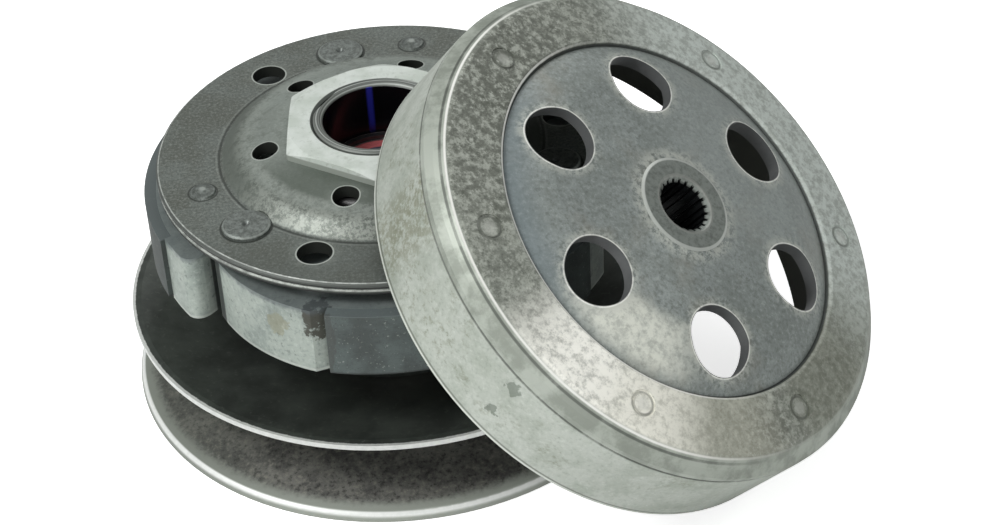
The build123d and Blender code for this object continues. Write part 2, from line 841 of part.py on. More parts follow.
def damper_slot():
    """Room for the rubber damper over the shoe's whole swing."""
    pivot = polar(pivot_circle, pivot_angle)
    damper = polar(damper_circle, damper_angle)
    arm = damper - pivot
    side = Vector(-arm.Y, arm.X, 0).normalized()
    travel = arm.length * radians(shoe_swing)
    radius = rubber_radius + rubber_clearance
    height = shoe_top - web_bottom + 2 * cut_room
    slot = Pos(0, 0, web_bottom - cut_room) * (
        Pos(damper) * Cylinder(radius, height, align=up)
        + Pos(damper + side * travel) * Cylinder(radius, height, align=up))
    a = damper + arm.normalized() * radius
    b = damper - arm.normalized() * radius
    bridge = make_face(Polyline(a, b, b + side * travel, a + side * travel, close=True))
    return slot + Pos(0, 0, web_bottom - cut_room) * extrude(bridge, height)


def hook_slot():
    """Slot in the heel that the neighbour's return spring hooks in, long enough for its swing."""
    return hook_pocket(heel_gap_angle() + return_hook_angle, hook_slot_back, hook_slot_front)


def hook_pocket(angle, back, front):
    radius = return_wire_radius + hook_side_clearance
    depth = return_hook_depth + return_hook_travel
    start = shoe_inner_radius - cut_room
    box = Box(depth + cut_room, back + front, 2 * radius, align=(Align.MIN, Align.MIN, Align.CENTER))
    return place(angle, start, return_spring_height) * Pos(0, -back, 0) * box


def heel_gap_angle():
    """Angle of the gap between a shoe's heel and the tip before it."""
    return (heel_angle + tip_angle - pitch_step) / 2


def make_shoe(i):
    shoe = Pos(0, 0, shoe_bottom) * extrude(shoe_outline(), shoe_top - shoe_bottom)
    shoe -= arc_slab(shoe_inner_radius - 2 * cut_room, band_inner_radius, heel_angle - shoe_end_room,
                     tip_angle + shoe_end_room, shoe_bottom - cut_room, web_bottom)
    shoe -= arc_slab(shoe_inner_radius + 2 * pocket_margin, carrier_radius - 2 * pocket_margin,
                     pocket_start_angle, pocket_end_angle, shoe_top - pocket_depth, shoe_top + cut_room)
    shoe += peg(boss_radius, web_bottom, plate_bottom - boss_clearance, pivot_angle, pivot_circle)
    shoe -= peg(clip_radius + clip_room, shoe_bottom - cut_room, web_bottom, pivot_angle, pivot_circle)
    bore = pivot_radius + pivot_clearance
    shoe -= peg(bore, shoe_bottom - cut_room, plate_bottom, pivot_angle, pivot_circle)
    shoe -= damper_slot()
    shoe -= hook_slot()
    shoe -= hook_pocket(heel_gap_angle() + pitch_step - return_hook_angle, hook_hole_half, hook_hole_half)
    return Rot(0, 0, i * pitch_step) * shoe


def make_lining(i):
    lining = arc_slab(carrier_radius, lining_radius, lining_start_angle, lining_end_angle,
                      lining_bottom, lining_top)
    return Rot(0, 0, i * pitch_step) * lining


def make_return_spring(i):
    """Close-wound return spring between one shoe's tip and the next one's heel."""
    middle = heel_gap_angle() + pitch_step
    centre = place(middle, return_spring_circle, return_spring_height)
    spring = centre * Rot(90, 0, 0) * Cylinder(return_spring_radius, 2 * return_spring_half_length)
    reach = shoe_inner_radius + return_hook_depth
    for side in (-1, 1):
        angle = middle + side * return_hook_angle
        corner = polar(return_spring_circle + return_leg_offset, angle, return_spring_height)
        eye = (centre * Pos(0, side * (return_spring_half_length - return_leg_offset), 0)).position
        leg = Line(eye, corner)
        spring += sweep(Plane(origin=leg @ 0, z_dir=leg % 0) * Circle(return_wire_radius), path=leg)
        spring += Pos(corner) * Sphere(return_wire_radius)
        spring += spoke(return_wire_radius, return_spring_circle + return_leg_offset, reach, angle,
                        return_spring_height)
    return Rot(0, 0, i * pitch_step) * spring


# Clutch bell: pressed drum, with its splined hub welded in the middle. Its own heights run from the
# mouth up to the closed face, along its own axis
def make_bell_drum():
    wall = bell_wall
    line = bell_line_depth
    recess_height = bell_recess_height - bell_recess_step
    outside = [
        (bell_mouth_radius, bell_outer_edge),
        (bell_radius, bell_wall_height - line),
        (bell_radius - line, bell_wall_height),
        (bell_radius, bell_wall_height + line),
        (bell_radius, bell_band_height - bell_shoulder_round),
        (bell_radius - bell_shoulder_round, bell_band_height),
        (bell_annulus_radius + bell_step_run, bell_annulus_height - bell_step_rise),
        (bell_annulus_radius, bell_annulus_height),
        (bell_recess_radius + bell_edge_round, bell_recess_height),
        (bell_recess_radius, bell_recess_height - bell_recess_edge),
        (bell_recess_radius - bell_recess_run, recess_height),
    ]
    face = [(bell_face_radius, bell_face_height), (bell_hub_radius, bell_hub_height)]
    inside = [
        (bell_hub_radius, bell_hub_height - wall),
        (bell_face_radius, bell_face_height - wall),
        (bell_recess_radius - wall / 2, recess_height - wall),
        (bell_annulus_radius - wall / 2, bell_annulus_height - wall),
        (bell_radius - 1.5 * wall, bell_wall_height),
        (bell_radius - wall, bell_wall_height - wall),
        (bell_mouth_radius - wall, bell_inner_edge),
        (bell_mouth_radius - wall + bell_inner_edge, 0),
        (bell_mouth_radius - bell_outer_edge, 0),
    ]
    swell = (bell_recess_radius - bell_recess_run + bell_face_radius) / 2
    swell_height = (recess_height + bell_face_height) / 2 + bell_swell
    outside = [(r, 0, h) for r, h in outside]
    rest = [(r, 0, h) for r, h in face + inside]
    lines = [Line(a, b) for a, b in zip(outside, outside[1:])]
    lines.append(ThreePointArc(outside[-1], (swell, 0, swell_height), rest[0]))
    lines += [Line(a, b) for a, b in zip(rest, rest[1:] + outside[:1])]
    drum = revolve(make_face(Wire(lines)), Axis.Z)
    for i in range(bell_hole_count):
        drum -= peg(bell_hole_radius, bell_wall_height, bell_hub_height + cut_room,
                    bell_hole_angle + i * 360 / bell_hole_count, bell_hole_circle)
    run = bell_annulus_radius - bell_recess_radius - bell_edge_round
    fall = (bell_recess_height - bell_annulus_height) / run
    mark_height = bell_annulus_height + (bell_annulus_radius - bell_mark_circle) * fall
    for angle in bell_mark_angles:
        at = place(angle, bell_mark_circle, mark_height) * Rot(0, degrees(atan2(fall, 1)), 0)
        drum -= at * tube(bell_mark_radius, bell_mark_radius - bell_mark_width, -bell_mark_depth, cut_room)
    return drum


def make_bell_hub():
    """Welded boss with its internal splines."""
    under = bell_hub_height - bell_wall - bell_collar_gap
    top = bell_hub_height + bell_hub_proud
    root = bell_hub_bore + spline_depth
    hub = turned([
        (bell_hub_bore, bell_boss_bottom),
        (bell_boss_radius, bell_boss_bottom),
        (bell_boss_radius, under - bell_collar_height),
        (bell_hub_radius + bell_collar_width, under - bell_collar_height),
        (bell_hub_radius + bell_collar_width, under),
        (bell_hub_radius, under),
        (bell_hub_radius, top - bell_hub_edge),
        (bell_hub_radius - bell_hub_chamfer, top),
        (root + bell_hub_chamfer, top),
        (bell_hub_bore, top - bell_bore_chamfer),
    ])
    step = 360 / spline_count
    mouth = bell_hub_bore - cut_room
    mouth_half = radians(step) * bell_hub_bore * spline_inner_share / 2
    root_half = radians(step) * root * spline_root_share / 2
    tooth_space = make_face(Polyline(
        (mouth, -mouth_half), (root, -root_half), (root, root_half), (mouth, mouth_half), close=True))
    depth = top - bell_boss_bottom + 2 * cut_room
    space = Pos(0, 0, bell_boss_bottom - cut_room) * extrude(tooth_space, depth)
    for i in range(spline_count):
        hub -= Rot(0, 0, i * step) * space
    return hub


def bell_location(away):
    """Place of the bell, standing on its mouth's edge, its axis a distance out from the clutch's."""
    stand = (bell_mouth_radius - bell_outer_edge) * sin(radians(bell_lean))
    return Rot(0, 0, bell_turn) * Pos(away, bell_side_offset, stand) * Rot(0, bell_lean, 0)


def mouth_gap(away):
    """Least height of the bell's mouth over the drive plate, with the bell a distance out."""
    location = bell_location(away)
    inner = bell_mouth_radius - bell_wall
    edges = ((bell_mouth_radius - bell_outer_edge, 0), (inner + bell_inner_edge, 0), (inner, bell_inner_edge))
    least = plate_top
    for radius, height in edges:
        for step in range(360):
            point = (location * Pos(polar(radius, step, height))).position
            if hypot(point.X, point.Y) < plate_radius:
                least = min(least, point.Z - plate_top)
    return least


def bell_distance():
    """Distance out at which the mouth's edge comes down on the drive plate's edge."""
    near, far = 0.5 * plate_radius, 2 * plate_radius
    for _ in range(12):
        middle = (near + far) / 2
        if mouth_gap(middle) < bell_rest_gap:
            near = middle
        else:
            far = middle
    return far


bell_place = bell_location(bell_distance())

os.makedirs("parts", exist_ok=True)
save("fixed_sheave", make_fixed_sheave())
save("hub_tube", make_hub_tube())
save("needle_bearing_shell", make_needle_shell())
save("needle_bearing_cage", make_needle_cage())
save("needle_bearing_rollers", make_needle_rollers())
save("ball_bearing_outer_ring", make_outer_ring())
save("ball_bearing_inner_ring", make_inner_ring())
save("ball_bearing_balls", make_balls())
save("ball_bearing_cage", make_ball_cage())
save("ball_bearing_upper_seal", make_bearing_seal(True))
save("ball_bearing_lower_seal", make_bearing_seal(False))
save("bearing_snap_ring", make_snap_ring())
save("guide_pins", group([make_guide_pin(i) for i in range(slot_count)]))
for i in range(slot_count):
    save(f"guide_roller_{i + 1}", make_guide_roller(i))
save("movable_sheave", make_movable_sheave())
save("cam_collar", make_cam_collar())
save("lower_oil_seal", make_oil_seal(sheave_meeting_height + sheave_gap))
save("upper_oil_seal", make_oil_seal(collar_top - oil_seal_height))
save("lower_o_ring", make_o_ring(lower_o_ring))
save("upper_o_ring", make_o_ring(upper_o_ring))
save("spring_seat", make_spring_seat())
save("contra_spring", make_contra_spring())
save("drive_plate", make_drive_plate())
save("clutch_nut", make_nut())
save("pivot_pins", group([make_pivot_pin(i) for i in range(shoe_count)]))
save("damper_pins", group([make_damper_pin(i) for i in range(shoe_count)]))
save("damper_rubbers", group([make_damper_rubber(i) for i in range(shoe_count)]))
save("side_plate", make_side_plate())
save("e_clips", group([make_e_clip(i) for i in range(shoe_count)]))
for i, letter in enumerate("abc"):
    save(f"shoe_{letter}", make_shoe(i))
    save(f"lining_{letter}", make_lining(i))
    save(f"return_spring_{letter}", make_return_spring(i))
save("bell_drum", make_bell_drum(), bell=True)
save("bell_hub", make_bell_hub(), bell=True)
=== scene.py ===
from math import cos, pi, radians, sin

import bpy
from mathutils import Matrix, Vector


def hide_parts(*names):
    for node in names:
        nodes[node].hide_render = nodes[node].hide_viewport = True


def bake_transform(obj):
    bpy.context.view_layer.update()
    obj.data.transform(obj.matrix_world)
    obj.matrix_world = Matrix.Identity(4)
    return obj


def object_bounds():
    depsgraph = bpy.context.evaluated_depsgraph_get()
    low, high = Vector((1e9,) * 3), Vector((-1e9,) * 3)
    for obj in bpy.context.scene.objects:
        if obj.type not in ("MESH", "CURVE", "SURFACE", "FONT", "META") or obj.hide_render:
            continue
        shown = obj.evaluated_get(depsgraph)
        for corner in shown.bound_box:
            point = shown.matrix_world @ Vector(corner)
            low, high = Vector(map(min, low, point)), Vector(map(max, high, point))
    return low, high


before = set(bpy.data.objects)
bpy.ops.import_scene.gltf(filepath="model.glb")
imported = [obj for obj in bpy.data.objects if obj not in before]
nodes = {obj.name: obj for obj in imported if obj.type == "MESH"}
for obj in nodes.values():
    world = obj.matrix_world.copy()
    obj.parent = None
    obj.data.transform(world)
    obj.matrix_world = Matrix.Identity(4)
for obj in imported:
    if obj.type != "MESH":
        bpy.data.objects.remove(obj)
cad_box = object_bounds()
bpy.ops.object.select_all(action="DESELECT")

# Camera: solved from the photo's ellipses in the shared frame, in metres. It stands in front of the clutch,
# looks down on it and is rolled a little, and its lens shift gives the photo's framing.
camera_place = (0.00156, -0.49259, 0.3496)
camera_pitch = radians(37.07)
camera_roll = radians(-5.07)
camera_data = bpy.data.cameras.new("camera")
camera_data.sensor_width = 36.0
camera_data.lens = 85.78
camera_data.shift_x = 0.1035
camera_data.shift_y = -0.0139
camera_data.clip_start = 0.01
camera = bpy.data.objects.new("camera", camera_data)
bpy.context.scene.collection.objects.link(camera)
forward = Vector((0, cos(camera_pitch), -sin(camera_pitch)))
level_right = Vector((1, 0, 0))
level_up = level_right.cross(forward)
right = level_right * cos(camera_roll) + level_up * sin(camera_roll)
upward = level_up * cos(camera_roll) - level_right * sin(camera_roll)
camera_turn = Matrix((right, upward, -forward)).transposed().to_4x4()
camera.matrix_world = Matrix.Translation(camera_place) @ camera_turn
bpy.context.scene.camera = camera

# Floor: a matt white sheet just under the fixed sheave. What the camera sees of it glows as well, so that it
# renders nearly white, a little less so near the clutch, and keeps a faint shadow.
floor_size = 6.0
floor_gap = 0.00005
floor_height = cad_box[0][2]
shadow_centre = (0.025, 0.0, floor_height)
shadow_radius = 0.09
shadow_end = 0.16
shadow_glow = 0.7
open_glow = 0.75
bpy.ops.mesh.primitive_plane_add(size=floor_size, location=(0, 0, 0))
floor = bpy.context.object
floor.name = "floor"
bpy.ops.object.mode_set(mode="EDIT")
bpy.ops.transform.translate(value=(0, 0, floor_height - floor_gap))
bpy.ops.object.mode_set(mode="OBJECT")


class Shade:
    """One output of a shader node. Sums, products and masks of it add the nodes for them."""

    def __init__(self, tree, out):
        self.tree = tree
        self.out = out

    def math(self, operation, *others):
        sockets = dict(enumerate((self,) + others))
        return add_node(self.tree, "ShaderNodeMath", sockets, operation=operation)

    def __add__(self, other):
        return self.math("ADD", other)

    def __sub__(self, other):
        return self.math("SUBTRACT", other)

    def __rsub__(self, other):
        return (self * -1.0) + other

    def __mul__(self, other):
        return self.math("MULTIPLY", other)

    def __truediv__(self, other):
        return self.math("DIVIDE", other)

    __radd__ = __add__
    __rmul__ = __mul__

    def smooth(self, low, high, start=0.0, end=1.0):
        """A soft step from the start value at low to the end value at high, which may be the smaller one."""
        if low > high:
            low, high, start, end = high, low, end, start
        sockets = {"Value": self, "From Min": low, "From Max": high, "To Min": start, "To Max": end}
        return add_node(self.tree, "ShaderNodeMapRange", sockets, interpolation_type="SMOOTHSTEP")

    def band(self, middle, half, soft):
        """1 within half of middle, falling to 0 over the soft width."""
        return (self - middle).math("ABSOLUTE").smooth(half + soft, half)


def feed(tree, socket, value):
    """Link a shader value to a socket, or set a plain number, place or colour on it."""
    if isinstance(value, Shade):
        tree.links.new(value.out, socket)
    else:
        socket.default_value = value


def add_node(tree, kind, sockets=None, output=0, **settings):
    """Add a node with its settings, feed its sockets by name or number, and give one of its outputs."""
    node = tree.nodes.new(kind)
    for name, value in settings.items():
        setattr(node, name, value)
    for key, value in (sockets or {}).items():
        feed(tree, node.inputs[key], value)
    return Shade(tree, node.outputs[output])


floor_material = bpy.data.materials.new("floor")
floor_material.use_nodes = True
floor_tree = floor_material.node_tree
floor_shader = floor_tree.nodes["Principled BSDF"]
floor_shader.inputs["Base Color"].default_value = (0.9, 0.9, 0.9, 1.0)
floor_shader.inputs["Roughness"].default_value = 1.0
floor_shader.inputs["Specular IOR Level"].default_value = 0.0
floor_place = add_node(floor_tree, "ShaderNodeTexCoord", output="Object")
shadow_reach = add_node(
    floor_tree, "ShaderNodeVectorMath", {0: floor_place, 1: shadow_centre}, "Value", operation="DISTANCE")
glow_strength = shadow_reach.smooth(shadow_radius, shadow_end, shadow_glow, open_glow)
glow = add_node(floor_tree, "ShaderNodeEmission", {"Strength": glow_strength})
matt = Shade(floor_tree, floor_shader.outputs[0])
glowing = add_node(floor_tree, "ShaderNodeAddShader", {0: matt, 1: glow})
camera_ray = add_node(floor_tree, "ShaderNodeLightPath", output="Is Camera Ray")
floor_surface = add_node(floor_tree, "ShaderNodeMixShader", {0: camera_ray, 1: matt, 2: glowing})
feed(floor_tree, floor_tree.nodes["Material Output"].inputs["Surface"], floor_surface)
floor.data.materials.append(floor_material)

# Studio: three square soft boxes and a pale sky that brightens upwards. Where the camera looks past the
# clutch, it sees plain white.
sky_low = -0.1
sky_high = 0.9
sky_low_strength = 0.22
sky_high_strength = 0.46
sky_colour = (0.98, 1.0, 1.0, 1.0)
white_colour = (1.0, 1.0, 1.0, 1.0)
soft_boxes = {
    "key": {"place": (-0.62, -0.30, 0.80), "size": 0.45, "power": 7.6},
    "front": {"place": (-0.10, -1.00, 0.30), "size": 0.60, "power": 2.6},
    "back": {"place": (0.25, 0.75, 0.75), "size": 0.60, "power": 1.6},
}
world = bpy.data.worlds.new("studio")
bpy.context.scene.world = world
world.use_nodes = True
sky = world.node_tree
sky.nodes.clear()
sky_direction = add_node(sky, "ShaderNodeTexCoord", output="Generated")
sky_rise = add_node(sky, "ShaderNodeSeparateXYZ", {0: sky_direction}, "Z")
sky_strength = add_node(sky, "ShaderNodeMapRange", {
    "Value": sky_rise,
    "From Min": sky_low,
    "From Max": sky_high,
    "To Min": sky_low_strength,
    "To Max": sky_high_strength,
})
sky_light = add_node(sky, "ShaderNodeBackground", {"Color": sky_colour, "Strength": sky_strength})
white = add_node(sky, "ShaderNodeBackground", {"Color": white_colour, "Strength": 1.0})
camera_ray = add_node(sky, "ShaderNodeLightPath", output="Is Camera Ray")
sky_surface = add_node(sky, "ShaderNodeMixShader", {0: camera_ray, 1: sky_light, 2: white})
feed(sky, sky.nodes.new("ShaderNodeOutputWorld").inputs["Surface"], sky_surface)
bpy.context.scene.view_settings.view_transform = "Standard"
for name, box in soft_boxes.items():
    lamp = bpy.data.lights.new(name, "AREA")
    lamp.shape = "SQUARE"
    lamp.size = box["size"]
    lamp.energy = box["power"]
    soft_box = bpy.data.objects.new(name, lamp)
    bpy.context.scene.collection.objects.link(soft_box)
    aim = (-Vector(box["place"])).to_track_quat("-Z", "Y").to_matrix().to_4x4()
    soft_box.matrix_world = Matrix.Translation(box["place"]) @ aim


# Fixed sheave: the lower dished disc, pressed from steel plate and fixed on the hub tube. Its belt face is
# dark, brownish and mottled, with faint turned rings and painted shade towards the left, and its rounded rim
# is light, with a painted highlight along its edge.
def tone(red, green, blue):
    """Colour of three display levels from 0 to 255."""
    shares = [level / 255 for level in (red, green, blue)]
    light = [((share + 0.055) / 1.055) ** 2.4 if share > 0.04 else share / 12.92 for share in shares]
    return (*light, 1.0)


class Finish:
    """A procedural material. Its patterns are laid on the object's own coordinates, in millimetres."""

    def __init__(self, name):
        self.material = bpy.data.materials.new(name)
        self.material.use_nodes = True
        self.tree = self.material.node_tree
        self.shader = self.tree.nodes["Principled BSDF"]
        metres = self.node("ShaderNodeTexCoord", output="Object")
        self.place = self.node("ShaderNodeVectorMath", {0: metres, "Scale": 1000.0}, operation="SCALE")
        split = self.tree.nodes.new("ShaderNodeSeparateXYZ")
        feed(self.tree, split.inputs[0], self.place)
        self.x, self.y, self.z = (Shade(self.tree, out) for out in split.outputs)
        self.radius = (self.x * self.x + self.y * self.y).math("SQRT")

    def node(self, kind, sockets=None, output=0, **settings):
        """Add a node to this material and give one of its outputs."""
        return add_node(self.tree, kind, sockets, output, **settings)

    def point(self, x, y, z):
        """Vector made of three values, for a pattern on other coordinates."""
        return self.node("ShaderNodeCombineXYZ", {0: x, 1: y, 2: z})

    def distance(self, place, spot):
        """Distance of a place from a fixed spot, in mm."""
        return self.node("ShaderNodeVectorMath", {0: place, 1: spot}, "Value", operation="DISTANCE")

    def along(self, direction, origin):
        """Distance along a direction from an origin, in mm."""
        sockets = {0: self.place, 1: direction}
        reach = self.node("ShaderNodeVectorMath", sockets, "Value", operation="DOT_PRODUCT")
        return reach - direction.dot(origin)

    def nearest(self, spots, x=None, y=None):
        """Distance to the nearest of several upright axes, each given by its x and y."""
        flat = self.point(x or self.x, y or self.y, 0.0)
        reaches = [self.distance(flat, (spot[0], spot[1], 0.0)) for spot in spots]
        least = reaches[0]
        for reach in reaches[1:]:
            least = least.math("MINIMUM", reach)
        return least

    def patch(self, spot, size, ragged, flatten=1.0):
        """1 in a ragged patch about a spot; flatten under 1 makes it taller than wide."""
        place = self.point(self.x, self.y, self.z * flatten)
        reach = self.distance(place, (spot[0], spot[1], spot[2] * flatten))
        reach = reach + (self.noise(size=2.5, detail=5.0, rough=0.6) - 0.5) * ragged
        return reach.smooth(size, size * 0.75)

    def noise(self, size, detail=4.0, rough=0.6, at=None):
        """Noise with features of a size in mm, about 0 to 1."""
        sockets = {"Vector": at or self.place, "Scale": 1.0 / size, "Detail": detail, "Roughness": rough}
        return self.node("ShaderNodeTexNoise", sockets, "Fac")

    def mix(self, factor, first, second):
        """Colour from first at 0 to second at 1."""
        return self.node("ShaderNodeMix", {"Factor": factor, 6: first, 7: second}, 2, data_type="RGBA")

    def bump(self, height, depth):
        """Relief of a depth in mm."""
        sockets = {"Distance": 0.001, "Strength": 1.0, "Height": height * depth}
        feed(self.tree, self.shader.inputs["Normal"], self.node("ShaderNodeBump", sockets, "Normal"))

    def finish(self, colour, roughness, metallic):
        """Feed the surface's colour, roughness and metal."""
        feed(self.tree, self.shader.inputs["Base Color"], colour)
        feed(self.tree, self.shader.inputs["Roughness"], roughness)
        feed(self.tree, self.shader.inputs["Metallic"], metallic)

    def put_on(self, *names):
        """Put this material on pieces by the names of their nodes."""
        for name in names:
            for slot in nodes[name].material_slots:
                slot.material = self.material


rim_start = 63.6
rim_full = 66.6
edge_highlight_radius = 68.1
shade_start = -25.0
shade_full = -58.0
belt_face_grey = tone(122, 122, 116)
belt_face_dark = tone(88, 88, 85)
belt_dust = tone(150, 149, 137)
belt_pits = tone(46, 46, 43)
rim_grey = tone(150, 155, 146)
left_shade = tone(76, 82, 73)
edge_highlight = tone(238, 240, 237)
steel = Finish("fixed_sheave_steel")
rings = steel.noise(size=0.5, detail=2.0, rough=0.5, at=steel.point(steel.radius, 0.0, 0.0))
stain = steel.noise(size=7.0, detail=6.0, rough=0.7)
fine = steel.noise(size=1.3, detail=4.0, rough=0.7)
face = steel.mix(stain.smooth(0.35, 0.62), belt_face_grey, belt_face_dark)
face = steel.mix(fine.smooth(0.5, 0.7) * 0.6, face, belt_dust)
face = steel.mix(fine.smooth(0.48, 0.34) * 0.7, face, belt_pits)
rim = (steel.radius + (stain - 0.5) * 3.0 + (fine - 0.5) * 2.0).smooth(rim_start, rim_full)
face = steel.mix(rim, face, rim_grey)
face = steel.mix(steel.x.smooth(shade_start, shade_full) * 0.4, face, left_shade)
# Painted highlight: a bright line along the rounded rim's edge.
edge = steel.radius.band(edge_highlight_radius, 0.25, 0.45) * (fine * 0.4 + 0.7)
face = steel.mix(edge * 0.9, face, edge_highlight)
steel.finish(face, roughness=0.46 - rim * 0.08 + fine * 0.1, metallic=0.4 - rim * 0.25)
steel.bump(rings, depth=0.012)
steel.put_on("fixed_sheave")

# Movable sheave: the upper dished disc, pressed from steel plate and fixed on the cam collar, with which it
# slides. Its dish is charcoal grey with faint specks, and a painted highlight lies on a thin, glossier band
# at its very edge.
rim_highlight_start = 67.1
rim_highlight_full = 67.35
charcoal = tone(76, 82, 76)
charcoal_dark = tone(54, 58, 54)
dish_specks = tone(112, 118, 110)
rim_highlight_dim = tone(196, 200, 195)
rim_highlight_bright = tone(240, 242, 238)
steel = Finish("movable_sheave_steel")
rings = steel.noise(size=0.7, detail=2.0, rough=0.5, at=steel.point(steel.radius, 0.0, 0.0))
stain = steel.noise(size=12.0, detail=6.0, rough=0.65)
fine = steel.noise(size=1.4, detail=4.0, rough=0.7)
face = steel.mix(stain.smooth(0.3, 0.7), charcoal, charcoal_dark)
face = steel.mix(fine.smooth(0.56, 0.76) * 0.45, face, dish_specks)
# Painted highlight on a thin band at the very edge, which is also a little glossier.
rim = (steel.radius + (fine - 0.5) * 0.5).smooth(rim_highlight_start, rim_highlight_full)
face = steel.mix(rim, face, steel.mix(fine, rim_highlight_dim, rim_highlight_bright))
steel.finish(face, roughness=0.42 - rim * 0.12, metallic=0.5)
steel.bump(rings, depth=0.012)
steel.put_on("movable_sheave")

# Hub tube and cam collar: turned and ground steel, one sliding on the other. Fine rings show on the tube's
# end. Its glossy bore is painted black as shade, with one blue streak of painted reflection and a pale ring
# over the bearing.
bore_radius = 14.05
bore_low = 2.5
bore_full = 4.0
bore_top = 18.6
tube_top = 18.9
tube_end = 18.4
chamfer_line = 14.45
outer_line = 15.6
bearing_ring = 4.4
streak_left = -2.2
streak_right = -1.5
streak_back = 9.0
tube_grey = tone(100, 105, 100)
tube_light = tone(126, 130, 125)
end_dark = tone(70, 74, 70)
end_bright = tone(176, 181, 176)
bore_shade = tone(16, 16, 20)
streak_reflection = tone(58, 62, 190)
ring_pale = tone(150, 140, 142)
steel = Finish("tube_steel")
turned_rings = steel.noise(size=0.35, detail=2.0, rough=0.5, at=steel.point(steel.radius, 0.0, 0.0))
fine = steel.noise(size=1.2, detail=3.0, rough=0.6, at=steel.point(steel.z, steel.radius, 0.0))
inside = steel.radius.smooth(bore_radius + 0.15, bore_radius) * steel.z.smooth(bore_low, bore_full)
inside = inside * steel.z.smooth(tube_top, bore_top)
face = steel.mix(fine, tube_grey, tube_light)
end = steel.z.smooth(tube_end, tube_end + 0.3)
face = steel.mix(end * turned_rings.smooth(0.4, 0.6) * 0.7, face, end_dark)
lines = steel.radius.band(chamfer_line, 0.06, 0.1) + steel.radius.band(outer_line, 0.06, 0.12)
face = steel.mix(lines * end * 0.8, face, end_bright)
# Painted shade: the bore is black, and the blue streak below is a painted reflection.
face = steel.mix(inside, face, bore_shade)
streak = steel.x.smooth(streak_left - 0.7, streak_left) * steel.x.smooth(streak_right + 0.8, streak_right)
streak = streak * steel.y.smooth(streak_back, streak_back + 2.0) * inside
face = steel.mix(streak * steel.z.smooth(4.0, 9.0), face, streak_reflection)
face = steel.mix(steel.z.band(bearing_ring, 0.25, 0.3) * inside, face, ring_pale)
steel.finish(face, roughness=0.32 - inside * 0.1 + end * 0.2, metallic=0.6 - end * 0.4)
steel.put_on("hub_tube", "cam_collar")


# Bearings, guide pins and rollers: hardened steel, ground bright. The bearings are pressed into the tube, and
# the rollers turn on pins fixed in it.
def grey(level, warm=0.0):
    """Grey of a display level from 0 to 255; warm above 0 makes it a little brown."""
    return tone(level + 4 * warm, level, level - 5 * warm)


steel = Finish("bearing_steel")
steel.finish(steel.mix(steel.noise(size=3.0), grey(150), grey(185)), roughness=0.28, metallic=0.9)
steel.put_on("ball_bearing_outer_ring", "ball_bearing_inner_ring", "ball_bearing_balls")
steel.put_on("needle_bearing_shell", "needle_bearing_rollers", "guide_pins")
steel.put_on("guide_roller_1", "guide_roller_2", "guide_roller_3")

# Bearing cages: pressed from steel strip, a little duller than the rings. They keep the balls and the needles
# apart.
steel = Finish("bearing_cage_steel")
steel.finish(steel.mix(steel.noise(size=2.0), grey(120), grey(150)), roughness=0.4, metallic=0.85)
steel.put_on("ball_bearing_cage", "needle_bearing_cage")

# Bearing seals: maroon rubber rings in both sides of the ball bearing. The upper one shows down in the tube's
# bore.
seal_light = tone(212, 112, 114)
seal_dark = tone(176, 90, 92)
rubber = Finish("bearing_seal_rubber")
rubber.finish(rubber.mix(rubber.noise(size=2.0), seal_light, seal_dark), roughness=0.45, metallic=0.0)
rubber.put_on("ball_bearing_upper_seal", "ball_bearing_lower_seal")

# Snap ring and E-clips: spring steel, blackened. The ring holds the ball bearing in the tube, and the clips
# hold the side plate on the pivot pins.
steel = Finish("clip_steel")
steel.finish(steel.mix(steel.noise(size=1.5), grey(62), grey(92)), roughness=0.4, metallic=0.8)
steel.put_on("bearing_snap_ring", "e_clips")

# Oil seals and O-rings: black rubber. The seals sit in the collar's ends, and the O-rings in grooves on its
# outside.
rubber = Finish("oil_seal_rubber")
rubber.finish(rubber.mix(rubber.noise(size=2.0), grey(34), grey(48)), roughness=0.5, metallic=0.0)
rubber.put_on("lower_oil_seal", "upper_oil_seal", "lower_o_ring", "upper_o_ring")

# Spring seat: a dull sleeve with a flange, pressed from steel. It slips over the collar and carries the
# contra spring.
steel = Finish("seat_steel")
seat_stain = steel.noise(size=8.0, detail=5.0)
steel.finish(steel.mix(seat_stain, grey(88, 0.5), grey(125, 0.5)), roughness=0.45, metallic=0.7)
steel.put_on("spring_seat")

# Contra spring and shoe return springs: dark oiled wire. The contra spring is drawn again here, round wire
# with a nearly flat coil at each end, in place of the hidden part; the real one shortens with the sheave's
# travel.
frame_rise = 54.0
spring_low = 23.4 - frame_rise
spring_high = 64.7 - frame_rise
coil_radius = 0.0256
wire_radius = 0.0021
wire_sides = 20
steps_per_turn = 60
end_turns = 0.9
end_rise = 3.931
open_turns = 4.0
open_rise = spring_high - spring_low - 2 * end_rise
steel = Finish("spring_steel")
oil_stain = steel.noise(size=4.0, detail=5.0)
steel.finish(steel.mix(oil_stain, grey(55), grey(86)), roughness=0.42, metallic=0.7)
steel.put_on("contra_spring", "return_spring_a", "return_spring_b", "return_spring_c")
coils = []
turned = 0.0
level = spring_low
for turns, rise in ((end_turns, end_rise), (open_turns, open_rise), (end_turns, end_rise)):
    place = Matrix.Rotation(turned, 3, "Z") @ Vector((coil_radius, 0, 0))
    bpy.ops.mesh.primitive_circle_add(
        vertices=wire_sides,
        radius=wire_radius,
        location=(place.x, place.y, level / 1000),
        rotation=(pi / 2, 0, turned),
    )
    coil = bpy.context.object
    bpy.ops.object.transform_apply(location=True, rotation=True, scale=True)
    screw = coil.modifiers.new("screw", "SCREW")
    screw.axis = "Z"
    screw.angle = 2 * pi * turns
    screw.screw_offset = rise / 1000
    screw.steps = round(steps_per_turn * turns)
    screw.render_steps = screw.steps
    bpy.ops.object.modifier_apply(modifier="screw")
    coils.append(coil)
    turned += 2 * pi * turns
    level += rise
bpy.ops.object.select_all(action="DESELECT")
